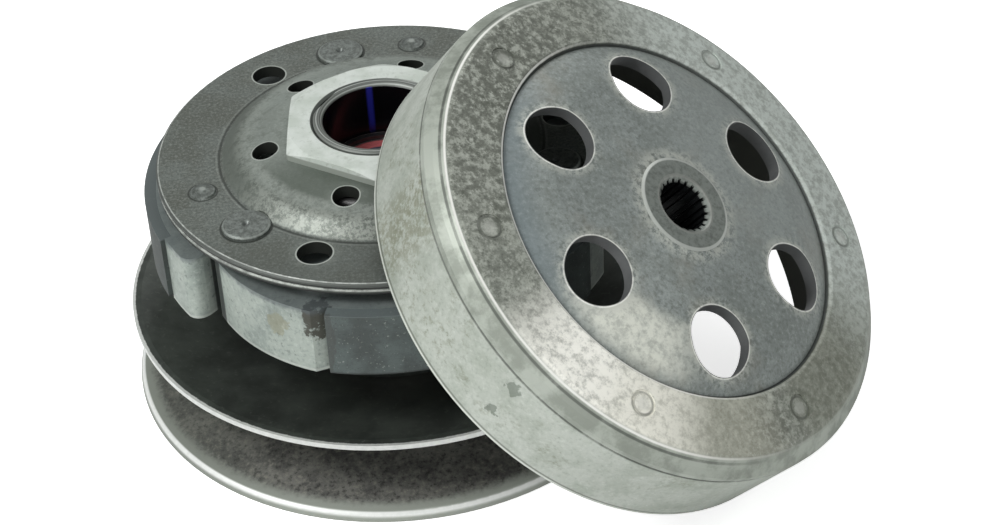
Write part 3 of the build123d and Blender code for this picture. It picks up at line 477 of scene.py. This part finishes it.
for coil in coils:
    coil.select_set(True)
bpy.context.view_layer.objects.active = coils[0]
bpy.ops.object.join()
spring = bpy.context.object
spring.name = "contra_spring_wire"
bpy.ops.object.mode_set(mode="EDIT")
bpy.ops.mesh.select_all(action="SELECT")
bpy.ops.mesh.remove_doubles(threshold=0.00001)
bpy.ops.mesh.select_all(action="DESELECT")
bpy.ops.mesh.select_non_manifold(extend=False, use_wire=False, use_boundary=True, use_multi_face=False,
                                 use_non_contiguous=False, use_verts=False)
bpy.ops.mesh.edge_face_add()
bpy.ops.mesh.select_all(action="SELECT")
bpy.ops.mesh.normals_make_consistent(inside=False)
bpy.ops.object.mode_set(mode="OBJECT")
bpy.ops.object.shade_smooth_by_angle(angle=radians(40))
spring.data.materials.append(steel.material)
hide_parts("contra_spring")
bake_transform(spring)


# Drive plate and side plate: pressed steel, dark grey with a fine grain. The nut clamps the drive plate on
# the tube. Its holes are worn bright, its dome is lighter, and dome and edge have painted highlights and
# painted shade. The side plate lies under the shoes.
def around(count, circle, angle):
    """Places of a bolt circle, in mm."""
    turns = [radians(angle + i * 360 / count) for i in range(count)]
    return [(circle * cos(turn), circle * sin(turn)) for turn in turns]


plate_top = 9.6
dome_radius = 39.6
dome_joint = 40.8
dome_slope_start = 33.5
dome_slope_full = 36.0
shoulder_radius = 34.0
dome_hole_radius = 3.28
plate_hole_radius = 4.28
pivots = around(3, circle=45.1, angle=221.1)
dampers = around(3, circle=46.8, angle=317.2)
pivot_seat_radius = 6.3
damper_seat_radius = 3.6
edge_radius = 56.15
edge_start = 55.9
edge_groove = 9.1
edge_lip = 8.45
plate_grey = tone(104, 110, 105)
plate_dark = tone(91, 95, 88)
grain_brown = tone(84, 84, 75)
grain_dark = tone(66, 70, 65)
grain_light = tone(142, 148, 142)
dome_grey_and_lit_side = tone(152, 160, 153)
dome_spots = tone(84, 90, 82)
dome_front_shade = tone(80, 88, 79)
plate_front_shade = tone(72, 77, 72)
slope_shade = tone(74, 80, 72)
slope_highlight = tone(150, 155, 147)
shoulder_highlight = tone(150, 156, 148)
crease_shade = tone(46, 50, 46)
ridge_highlight = tone(150, 155, 149)
hole_halo = tone(136, 142, 135)
hole_rim = tone(172, 178, 171)
hole_and_seat_shade = tone(46, 49, 45)
edge_grey = tone(78, 82, 78)
plate_edge_highlight = tone(186, 191, 185)
plate_edge_shade = tone(40, 42, 40)
plate_lip_highlight = tone(178, 183, 176)
steel = Finish("plate_steel")
stain = steel.noise(size=13.0, detail=5.0, rough=0.6)
fine = steel.noise(size=0.8, detail=3.0, rough=0.8)
grain = steel.noise(size=2.6, detail=5.0, rough=0.7)
face = steel.mix(stain.smooth(0.35, 0.65), plate_grey, plate_dark)
face = steel.mix(grain.smooth(0.5, 0.72) * 0.4, face, grain_brown)
face = steel.mix(fine.smooth(0.48, 0.68) * 0.65, face, grain_dark)
face = steel.mix(fine.smooth(0.5, 0.34) * 0.5, face, grain_light)
top = steel.z.smooth(plate_top, plate_top + 0.3)
dome = steel.radius.smooth(dome_radius + 0.6, dome_radius) * top
slope = dome * steel.radius.smooth(dome_slope_start, dome_slope_full)
# Painted light: the dome is lighter towards the left and the back. Painted shade darkens its front and the
# plate's front.
left = steel.x.smooth(6.0, -22.0)
back = steel.y.smooth(2.0, 26.0)
face = steel.mix(dome * (0.3 + (left + back) * 0.2), face, dome_grey_and_lit_side)
face = steel.mix(dome * grain.smooth(0.5, 0.66) * 0.4, face, dome_spots)
front = steel.y.smooth(-6.0, -20.0) * steel.radius.smooth(33.0, 30.5)
face = steel.mix(dome * front * 0.75, face, dome_front_shade)
face = steel.mix(steel.y.smooth(-26.0, -50.0) * top * 0.45, face, plate_front_shade)
# Painted shade on the dome's slope, and patchy painted highlights on its lower slope and round its shoulder.
face = steel.mix(slope * 0.6, face, slope_shade)
slope_highlight_mask = (grain + fine).smooth(1.16, 0.86) * steel.y.smooth(-12.0, -28.0)
face = steel.mix(slope * slope_highlight_mask * 0.65, face, slope_highlight)
shoulder = steel.radius.band(shoulder_radius, 1.5, 2.0) * top
face = steel.mix(shoulder * (grain + fine).smooth(1.12, 0.9) * 0.35, face, shoulder_highlight)
# Painted shade in the crease at the dome's foot, and a faint painted highlight on the ridge just outside it.
face = steel.mix(steel.radius.band(dome_joint, 0.15, 0.3) * top * 0.7, face, crease_shade)
face = steel.mix(steel.radius.band(dome_joint + 0.7, 0.1, 0.25) * top * 0.25, face, ridge_highlight)
dome_holes = steel.nearest(around(6, circle=29.3, angle=11.2))
plate_holes = steel.nearest(around(3, circle=46.0, angle=7.2))
rims = dome_holes.band(dome_hole_radius + 0.16, 0.1, 0.16)
rims = rims + plate_holes.band(plate_hole_radius + 0.18, 0.12, 0.18)
halo = dome_holes.smooth(6.0, 3.5) + plate_holes.smooth(7.5, 4.5)
face = steel.mix(halo * grain.smooth(0.4, 0.6) * 0.3, face, hole_halo)
face = steel.mix(rims * top * 0.85, face, hole_rim)
# Painted shade in the hole bores and in thin rings round the pin seats.
bores = dome_holes.smooth(dome_hole_radius + 0.06, dome_hole_radius)
bores = bores + plate_holes.smooth(plate_hole_radius + 0.06, plate_hole_radius)
face = steel.mix(bores, face, hole_and_seat_shade)
pivot_seats = steel.nearest(pivots).band(pivot_seat_radius, 0.15, 0.25)
seats = pivot_seats + steel.nearest(dampers).band(damper_seat_radius, 0.1, 0.25)
face = steel.mix(seats * top * steel.radius.smooth(40.4, 41.0) * 0.8, face, hole_and_seat_shade)
edge = steel.radius.smooth(edge_start, edge_start + 0.2)
# Painted highlights along the top edge and the lip, broken up by grain. Painted shade in the groove and below
# the lip.
highlight_breaks = grain.smooth(0.62, 0.4)
face = steel.mix(edge, face, edge_grey)
face = steel.mix(steel.radius.band(edge_radius, 0.08, 0.14) * top * (highlight_breaks * 0.5 + 0.4), face, plate_edge_highlight)
face = steel.mix(edge * steel.z.band(edge_groove, 0.2, 0.15), face, plate_edge_shade)
face = steel.mix(edge * steel.z.band(edge_lip, 0.15, 0.2) * (highlight_breaks * 0.6 + 0.3), face, plate_lip_highlight)
face = steel.mix(edge * steel.z.smooth(8.0, 7.7), face, plate_edge_shade)
steel.finish(face, roughness=0.5 - slope * 0.06, metallic=0.35)
steel.bump(fine, depth=0.007)
steel.put_on("drive_plate", "side_plate")

# Nut: forged steel with a bright worn zinc coat, screwed on the tube's end. Painted shade makes it darker
# down its sides and in its threads.
nut_edge = 17.9
thread_radius = 17.3
zinc_light = tone(208, 214, 208)
zinc_grey = tone(188, 196, 187)
zinc_worn = tone(156, 163, 154)
nut_side_shade = tone(146, 152, 144)
thread_shade = tone(92, 97, 92)
steel = Finish("nut_steel")
cloud = steel.noise(size=6.0, detail=5.0, rough=0.6)
fine = steel.noise(size=1.4, detail=5.0, rough=0.65)
face = steel.mix(cloud.smooth(0.35, 0.7), zinc_light, zinc_grey)
face = steel.mix(fine.smooth(0.52, 0.72) * 0.5, face, zinc_worn)
# Painted shade down the nut's sides and in its threads.
face = steel.mix(steel.z.smooth(nut_edge, nut_edge - 0.4), face, nut_side_shade)
face = steel.mix(steel.radius.smooth(thread_radius, thread_radius - 0.3), face, thread_shade)
steel.finish(face, roughness=0.45, metallic=0.2)
steel.bump(fine, depth=0.02)
steel.put_on("clutch_nut")

# Pivot and damper pins: steel, riveted in the drive plate and as dark as it. The large heads have a worn rim
# and a dark middle, and the small domed ones a dark ring and a bright middle.
head_level = 10.5
pin_light = tone(122, 128, 124)
pin_dark = tone(84, 89, 84)
pivot_rim = tone(160, 166, 160)
pivot_middle = tone(64, 66, 66)
damper_ring = tone(66, 70, 66)
damper_middle = tone(172, 178, 172)
steel = Finish("pin_steel")
fine = steel.noise(size=1.0, detail=5.0, rough=0.7)
face = steel.mix(fine.smooth(0.35, 0.65), pin_light, pin_dark)
pivot = steel.nearest(pivots)
damper = steel.nearest(dampers)
heads = steel.z.smooth(head_level, head_level + 0.2)
face = steel.mix(pivot.band(5.65, 0.1, 0.2) * heads * 0.45, face, pivot_rim)
face = steel.mix(pivot.smooth(1.2, 0.5) * heads * 0.5, face, pivot_middle)
face = steel.mix(damper.band(2.3, 0.2, 0.4) * heads * 0.4, face, damper_ring)
face = steel.mix(damper.smooth(1.2, 0.4) * heads * 0.6, face, damper_middle)
steel.finish(face, roughness=0.42, metallic=0.4)
steel.bump(fine, depth=0.04)
steel.put_on("pivot_pins", "damper_pins")

# Dampers: sleeves of matt black rubber, pushed on the damper pins. They keep the shoes from rattling, and
# nothing of them shows from outside.
rubber = Finish("damper_rubber")
rubber.finish(rubber.mix(rubber.noise(size=2.0), grey(38), grey(54)), roughness=0.6, metallic=0.0)
rubber.put_on("damper_rubbers")

# Shoes: cast aluminium, light greenish grey with dark pits, each swinging on its pivot pin. They have a
# painted shadow under the plate, a yellowish and a brown stain, and painted shade in the gap between two of
# them.
plate_shadow_low = 2.2
plate_shadow_full = 3.8
lower_edge = -13.4
yellow_spot = (-27.6, -50.6, -3.0)
brown_spot = (-18.0, -55.0, 0.8)
gap_spots = [(-42.3, -33.4), (-43.2, -28.0), (-42.9, -30.6)]
cast_light = tone(164, 173, 165)
cast_grey = tone(136, 146, 140)
cast_rough = tone(104, 112, 108)
cast_bright = tone(196, 203, 196)
cast_pits = tone(84, 90, 86)
yellow_stain = tone(140, 134, 98)
brown_stain = tone(58, 56, 46)
plate_shadow_grey = tone(84, 92, 96)
lower_bright = tone(190, 196, 188)
gap_shade = tone(36, 40, 40)
aluminium = Finish("shoe_aluminium")
stain = aluminium.noise(size=9.0, detail=5.0, rough=0.6)
fine = aluminium.noise(size=1.3, detail=5.0, rough=0.7)
pits = aluminium.noise(size=2.2, detail=4.0, rough=0.7)
face = aluminium.mix(stain.smooth(0.4, 0.7), cast_light, cast_grey)
face = aluminium.mix(fine.smooth(0.5, 0.72) * 0.6, face, cast_rough)
face = aluminium.mix(fine.smooth(0.46, 0.32) * 0.4, face, cast_bright)
face = aluminium.mix(pits.smooth(0.6, 0.7) * 0.6, face, cast_pits)
face = aluminium.mix(aluminium.patch(yellow_spot, size=3.6, ragged=9.0) * 0.4, face, yellow_stain)
face = aluminium.mix(aluminium.patch(brown_spot, size=3.4, ragged=11.0, flatten=0.6) * 0.9, face, brown_stain)
# Painted shadow of the drive plate along the tops of the shoes.
plate_shadow_line = aluminium.z + (pits - 0.5) * 3.0
face = aluminium.mix(plate_shadow_line.smooth(plate_shadow_low, plate_shadow_full) * 0.65, face, plate_shadow_grey)
face = aluminium.mix(aluminium.z.smooth(lower_edge, lower_edge - 0.5) * 0.6, face, lower_bright)
# Painted shade in the gap between two of the shoes.
gap_shade_mask = aluminium.nearest(gap_spots).smooth(1.8, 1.1)
face = aluminium.mix(gap_shade_mask * 0.9, face, gap_shade)
aluminium.finish(face, roughness=0.5, metallic=0.3)
aluminium.bump(fine, depth=0.05)
aluminium.put_on("shoe_a", "shoe_b", "shoe_c")

# Linings: dark moulded friction material with light specks, bonded on the shoes. The top edge is lighter, the
# bottom edge is painted dark as shade, and the left one is darker than the rest.
lining_top = 3.45
lining_bottom = -13.0
dark_start = -34.0
dark_full = -46.0
lining_spot = (-16.2, -58.3, -4.0)
lining_grey = tone(80, 90, 88)
lining_dark = tone(62, 69, 67)
lining_grain = tone(46, 51, 50)
lining_specks = tone(150, 156, 149)
lining_left = tone(44, 49, 46)
lining_top_lighter = tone(92, 100, 100)
lining_bottom_shade = tone(34, 37, 36)
lining_spot_grey = tone(60, 60, 56)
lining = Finish("lining_material")
specks = lining.noise(size=0.8, detail=3.0, rough=0.6)
stain = lining.noise(size=7.0, detail=4.0, rough=0.6)
grain = lining.noise(size=0.5, detail=3.0, rough=0.7)
face = lining.mix(stain.smooth(0.35, 0.65), lining_grey, lining_dark)
face = lining.mix(grain.smooth(0.52, 0.7) * 0.5, face, lining_grain)
face = lining.mix(specks.smooth(0.62, 0.7) * 0.55, face, lining_specks)
face = lining.mix(lining.x.smooth(dark_start, dark_full) * 0.6, face, lining_left)
face = lining.mix(lining.z.smooth(lining_top, lining_top + 0.25) * 0.7, face, lining_top_lighter)
# Painted shade along the bottom edge.
face = lining.mix(lining.z.smooth(lining_bottom, lining_bottom - 0.6) * 0.7, face, lining_bottom_shade)
face = lining.mix(lining.patch(lining_spot, size=1.6, ragged=2.0, flatten=0.15) * 0.5, face, lining_spot_grey)
lining.finish(face, roughness=0.62, metallic=0.0)
lining.bump(specks, depth=0.05)
lining.put_on("lining_a", "lining_b", "lining_c")

# Bell drum: one steel pressing that leans on the clutch. Its wall is stained grey-green, the ring of its face
# is mottled and burnished on one side under a painted reflection, and the recessed middle with six holes is
# plain and worn, with a painted sheen.
bell_turn = radians(-32.36)
bell_lean = radians(39.95)
bell_centre = Vector((50.947, -29.204, -12.969))
bell_spin = Matrix.Rotation(bell_turn, 3, "Z") @ Matrix.Rotation(bell_lean, 3, "Y")


def bell_places(finish):
    """Distances across, aside and up from the bell's mouth, and out from its axis, in mm."""
    across = finish.along(bell_spin @ Vector((1, 0, 0)), bell_centre)
    aside = finish.along(bell_spin @ Vector((0, 1, 0)), bell_centre)
    high = finish.along(bell_spin @ Vector((0, 0, 1)), bell_centre)
    return across, aside, high, (across * across + aside * aside).math("SQRT")


def towards(angle):
    """1 on the side of the bell at an angle about its axis, and -1 on the far side."""
    return (across * cos(radians(angle)) + aside * sin(radians(angle))) / out


steel = Finish("bell_steel")
across, aside, high, out = bell_places(steel)
stain = steel.noise(size=9.0, detail=6.0, rough=0.65)
cloud = steel.noise(size=22.0, detail=4.0, rough=0.6)
fine = steel.noise(size=1.1, detail=5.0, rough=0.75)
spots = steel.noise(size=2.2, detail=6.0, rough=0.75)

# The bell's wall: stained all over, with two dark stains, a brownish side and a bright line at the mouth
wall_radius = 65
mouth_line = 0.85
mouth_groove = 1.5
wall_light = tone(180, 186, 177)
wall_grey = tone(160, 167, 156)
wall_rough = tone(132, 140, 130)
wall_bright = tone(206, 211, 203)
wall_olive = tone(122, 124, 102)
wall_brown = tone(118, 118, 92)
wall_stain = tone(94, 104, 92)
mouth_dark = tone(92, 98, 88)
mouth_bright = tone(212, 216, 208)
mouth_grey = tone(110, 114, 106)
wall = steel.mix(stain.smooth(0.38, 0.66), wall_light, wall_grey)
wall = steel.mix(fine.smooth(0.5, 0.7) * 0.5, wall, wall_rough)
wall = steel.mix(fine.smooth(0.45, 0.32) * 0.4, wall, wall_bright)
wall = steel.mix(cloud.smooth(0.54, 0.64) * spots.smooth(0.48, 0.62) * 0.4, wall, wall_olive)
wall = steel.mix(towards(226.0).smooth(0.985, 0.998) * spots.smooth(0.4, 0.56) * 0.5, wall, wall_brown)
for angle, level, stain_size in ((268.0, 19.0, 2.0), (268.6, 8.0, 1.6)):
    spot = Vector((wall_radius * cos(radians(angle)), wall_radius * sin(radians(angle)), level))
    dark_stain = steel.patch(bell_spin @ spot + bell_centre, stain_size, ragged=7.0)
    wall = steel.mix(dark_stain * 0.7, wall, wall_stain)
wall = steel.mix(high.band(mouth_groove, 0.2, 0.2) * 0.7, wall, mouth_dark)
wall = steel.mix(high.band(mouth_line, 0.15, 0.2) * 0.8, wall, mouth_bright)
wall = steel.mix(high.smooth(0.5, 0.35) * 0.7, wall, mouth_grey)

# The ring of the bell's face: mottled, dark at the left, light at the far right and burnished at the front,
# with a painted reflection
ring_light = tone(172, 176, 166)
ring_grey = tone(126, 130, 121)
ring_blotch = tone(98, 102, 92)
ring_dark = tone(87, 91, 83)
ring_bright = tone(214, 217, 208)
ring_right = tone(129, 132, 117)
ring_left = tone(90, 93, 84)
ring_far = tone(214, 222, 216)
burnish_and_reflection = tone(255, 254, 245)
warm_burnish_and_reflection = tone(214, 212, 193)
ring = steel.mix(spots.smooth(0.36, 0.62), ring_light, ring_grey)
ring = steel.mix(stain.smooth(0.5, 0.6) * spots.smooth(0.36, 0.62) * 0.5, ring, ring_blotch)
ring = steel.mix(fine.smooth(0.5, 0.72) * 0.65, ring, ring_dark)
ring = steel.mix(fine.smooth(0.44, 0.3) * 0.45, ring, ring_bright)
ring = steel.mix(towards(8.0).smooth(0.84, 0.96) * 0.5, ring, ring_right)
ring = steel.mix(towards(192.0).smooth(0.7, 0.97) * spots.smooth(0.4, 0.56) * 0.5, ring, ring_left)
ring = steel.mix(towards(78.0).smooth(0.3, 0.8) * (spots.smooth(0.62, 0.4) * 0.4 + 0.45), ring, ring_far)
# Burnished at the front, with a painted reflection over the burnish.
burnish_and_reflection_mask = towards(283.0).smooth(0.84, 0.985) * (spots.smooth(0.66, 0.42) * 0.5 + 0.5)
ring = steel.mix(burnish_and_reflection_mask, ring, burnish_and_reflection)
ring = steel.mix(towards(308.0).smooth(0.85, 0.98) * 0.35, ring, warm_burnish_and_reflection)

# The bell's recessed middle: plain grey, rubbed round its six holes and its hub, with bright hole rims and a
# painted sheen at the front
hole_radius = 8.64
middle_light = tone(147, 154, 151)
middle_grey = tone(132, 139, 135)
middle_dark = tone(115, 120, 114)
middle_bright = tone(174, 180, 176)
middle_blotch = tone(108, 114, 111)
middle_brown = tone(147, 140, 124)
middle_blue = tone(110, 124, 131)
middle_far = tone(168, 175, 172)
sheen_light = tone(225, 227, 215)
hole_rubbed = tone(192, 195, 186)
hub_rubbed = tone(196, 199, 190)
bell_hole_rim = tone(236, 237, 230)
hole_wall_dark = tone(74, 76, 76)
hole_wall_light = tone(108, 110, 110)
middle = steel.mix(stain.smooth(0.35, 0.65), middle_light, middle_grey)
middle = steel.mix(fine.smooth(0.49, 0.66) * 0.75, middle, middle_dark)
middle = steel.mix(fine.smooth(0.48, 0.34) * 0.5, middle, middle_bright)
middle = steel.mix(spots.smooth(0.52, 0.64) * 0.3, middle, middle_blotch)
middle = steel.mix(cloud.smooth(0.5, 0.68) * 0.3, middle, middle_brown)
middle = steel.mix(towards(225.0).smooth(0.6, 1.0) * out.smooth(38.0, 46.0) * 0.5, middle, middle_blue)
middle = steel.mix(towards(75.0).smooth(0.1, 0.9) * 0.35, middle, middle_far)
# Painted sheen at the front of the middle.
sheen = towards(283.0).smooth(0.86, 1.0) * out.band(38.5, 4.0, 5.0)
middle = steel.mix(sheen * (spots.smooth(0.65, 0.4) * 0.4 + 0.5), middle, sheen_light)
holes = steel.nearest(around(6, circle=34.4, angle=19.6), across, aside)
middle = steel.mix(holes.smooth(11.5, 8.8) * spots.smooth(0.6, 0.42) * 0.7, middle, hole_rubbed)
middle = steel.mix(out.smooth(16.5, 13.0) * spots.smooth(0.6, 0.42) * 0.75, middle, hub_rubbed)
rims = holes.band(hole_radius + 0.16, 0.1, 0.14) * (spots.smooth(0.64, 0.44) * 0.4 + 0.5)
middle = steel.mix(rims, middle, bell_hole_rim)
hole_wall = steel.mix(stain, hole_wall_dark, hole_wall_light)
middle = steel.mix(holes.smooth(hole_radius, hole_radius - 0.08), middle, hole_wall)

# The whole bell: its middle inside its ring, with a painted highlight on the recess edge and painted shade on
# the recess wall, the rounded shoulder with its lines, partly painted highlight and shade, the wall, six
# faint round marks on the ring, and the inside painted dark as shade
recess_radius = 47.2
shoulder_start = 60.8
shoulder_full = 62.4
shoulder_bright_line = 61.8
shoulder_dark_line = 62.65
face_level = 24.0
wall_level = 22.7
inner_radius = 63.2
mark_circle = 54.4
mark_radius = 2.6
mark_angles = (46.0, 106.5, 182.0, 235.0, 292.5, 343.6)
recess_edge_highlight = tone(248, 248, 242)
recess_wall_shade = tone(58, 61, 58)
shoulder_light = tone(168, 174, 164)
shoulder_grey = tone(138, 144, 134)
bell_shoulder_highlight = tone(250, 250, 244)
bell_shoulder_shade = tone(70, 74, 68)
wall_line = tone(66, 70, 64)
mark_dark = tone(96, 99, 92)
mark_bright = tone(206, 208, 200)
inside_shade = tone(72, 74, 68)
face = steel.mix(out.smooth(recess_radius, recess_radius + 0.2), middle, ring)
# Painted highlight on the recess edge at the near side, and painted shade on the recess wall.
near = towards(242.0).smooth(-0.1, 0.6)
face = steel.mix(out.band(recess_radius + 0.55, 0.14, 0.24) * (near * 0.85 + 0.1), face, recess_edge_highlight)
face = steel.mix(out.band(recess_radius - 0.1, 0.2, 0.2) * 0.8, face, recess_wall_shade)
shoulder = steel.mix(stain.smooth(0.4, 0.6), shoulder_light, shoulder_grey)
face = steel.mix(out.smooth(shoulder_start, shoulder_full), face, shoulder)
# A painted highlight and a painted shade line on the shoulder at the near side.
face = steel.mix(out.band(shoulder_bright_line, 0.1, 0.3) * (near * 0.85 + 0.1), face, bell_shoulder_highlight)
patchy = stain.smooth(0.34, 0.48) * 0.3 + 0.5
face = steel.mix(out.band(shoulder_dark_line, 0.12, 0.2) * near * patchy, face, bell_shoulder_shade)
face = steel.mix(high.smooth(wall_level + 0.5, wall_level + 0.1), face, wall)
face = steel.mix(high.band(wall_level, 0.2, 0.25) * (stain.smooth(0.3, 0.5) * 0.6 + 0.2), face, wall_line)
for angle in mark_angles:
    mark = steel.nearest(around(1, mark_circle, angle), across, aside)
    outline = mark.band(mark_radius, 0.15, 0.35) * high.smooth(face_level, face_level + 1.0)
    face = steel.mix(outline * spots.smooth(0.66, 0.44) * 0.6, face, mark_dark)
    inside_mark = mark.smooth(2.1, 1.0) * high.smooth(face_level, face_level + 1.0)
    face = steel.mix(inside_mark * 0.4, face, mark_bright)
# Painted shade inside the bell.
inside_shade_mask = out.smooth(inner_radius + 0.4, inner_radius) * high.smooth(face_level + 1.0, face_level)
face = steel.mix(inside_shade_mask * high.smooth(0.6, 0.9), face, inside_shade)
steel.finish(face, roughness=0.46 - burnish_and_reflection_mask * 0.08 + fine * 0.08, metallic=0.35 - burnish_and_reflection_mask * 0.32)
steel.bump(fine, depth=0.04)
steel.put_on("bell_drum")

# Bell hub: a turned steel boss with splines, welded in the bell's middle. It has a bright edge round it, and
# its spline bore is painted black inside as shade, with bright tips.
hub_edge = 12.1
spline_tip = 7.7
spline_root = 7.1
hub_top = 35.3
hub_light = tone(140, 146, 140)
hub_grey = tone(112, 117, 112)
hub_edge_bright = tone(198, 202, 196)
tip_bright = tone(156, 158, 152)
spline_bore_shade = tone(24, 26, 27)
steel = Finish("bell_hub_steel")
across, aside, high, out = bell_places(steel)
fine = steel.noise(size=1.3, detail=4.0, rough=0.7)
face = steel.mix(fine.smooth(0.4, 0.7), hub_light, hub_grey)
face = steel.mix(out.band(hub_edge, 0.3, 0.25) * 0.9, face, hub_edge_bright)
tips = out.band(spline_tip, 0.25, 0.3) * high.smooth(hub_top - 0.3, hub_top)
face = steel.mix(tips * 0.6, face, tip_bright)
# Painted shade inside the spline bore.
spline_shade_mask = out.smooth(spline_root + 0.2, spline_root) * high.smooth(hub_top, hub_top - 0.7)
face = steel.mix(spline_shade_mask, face, spline_bore_shade)
steel.finish(face, roughness=0.4, metallic=0.5)
steel.bump(fine, depth=0.03)
steel.put_on("bell_hub")
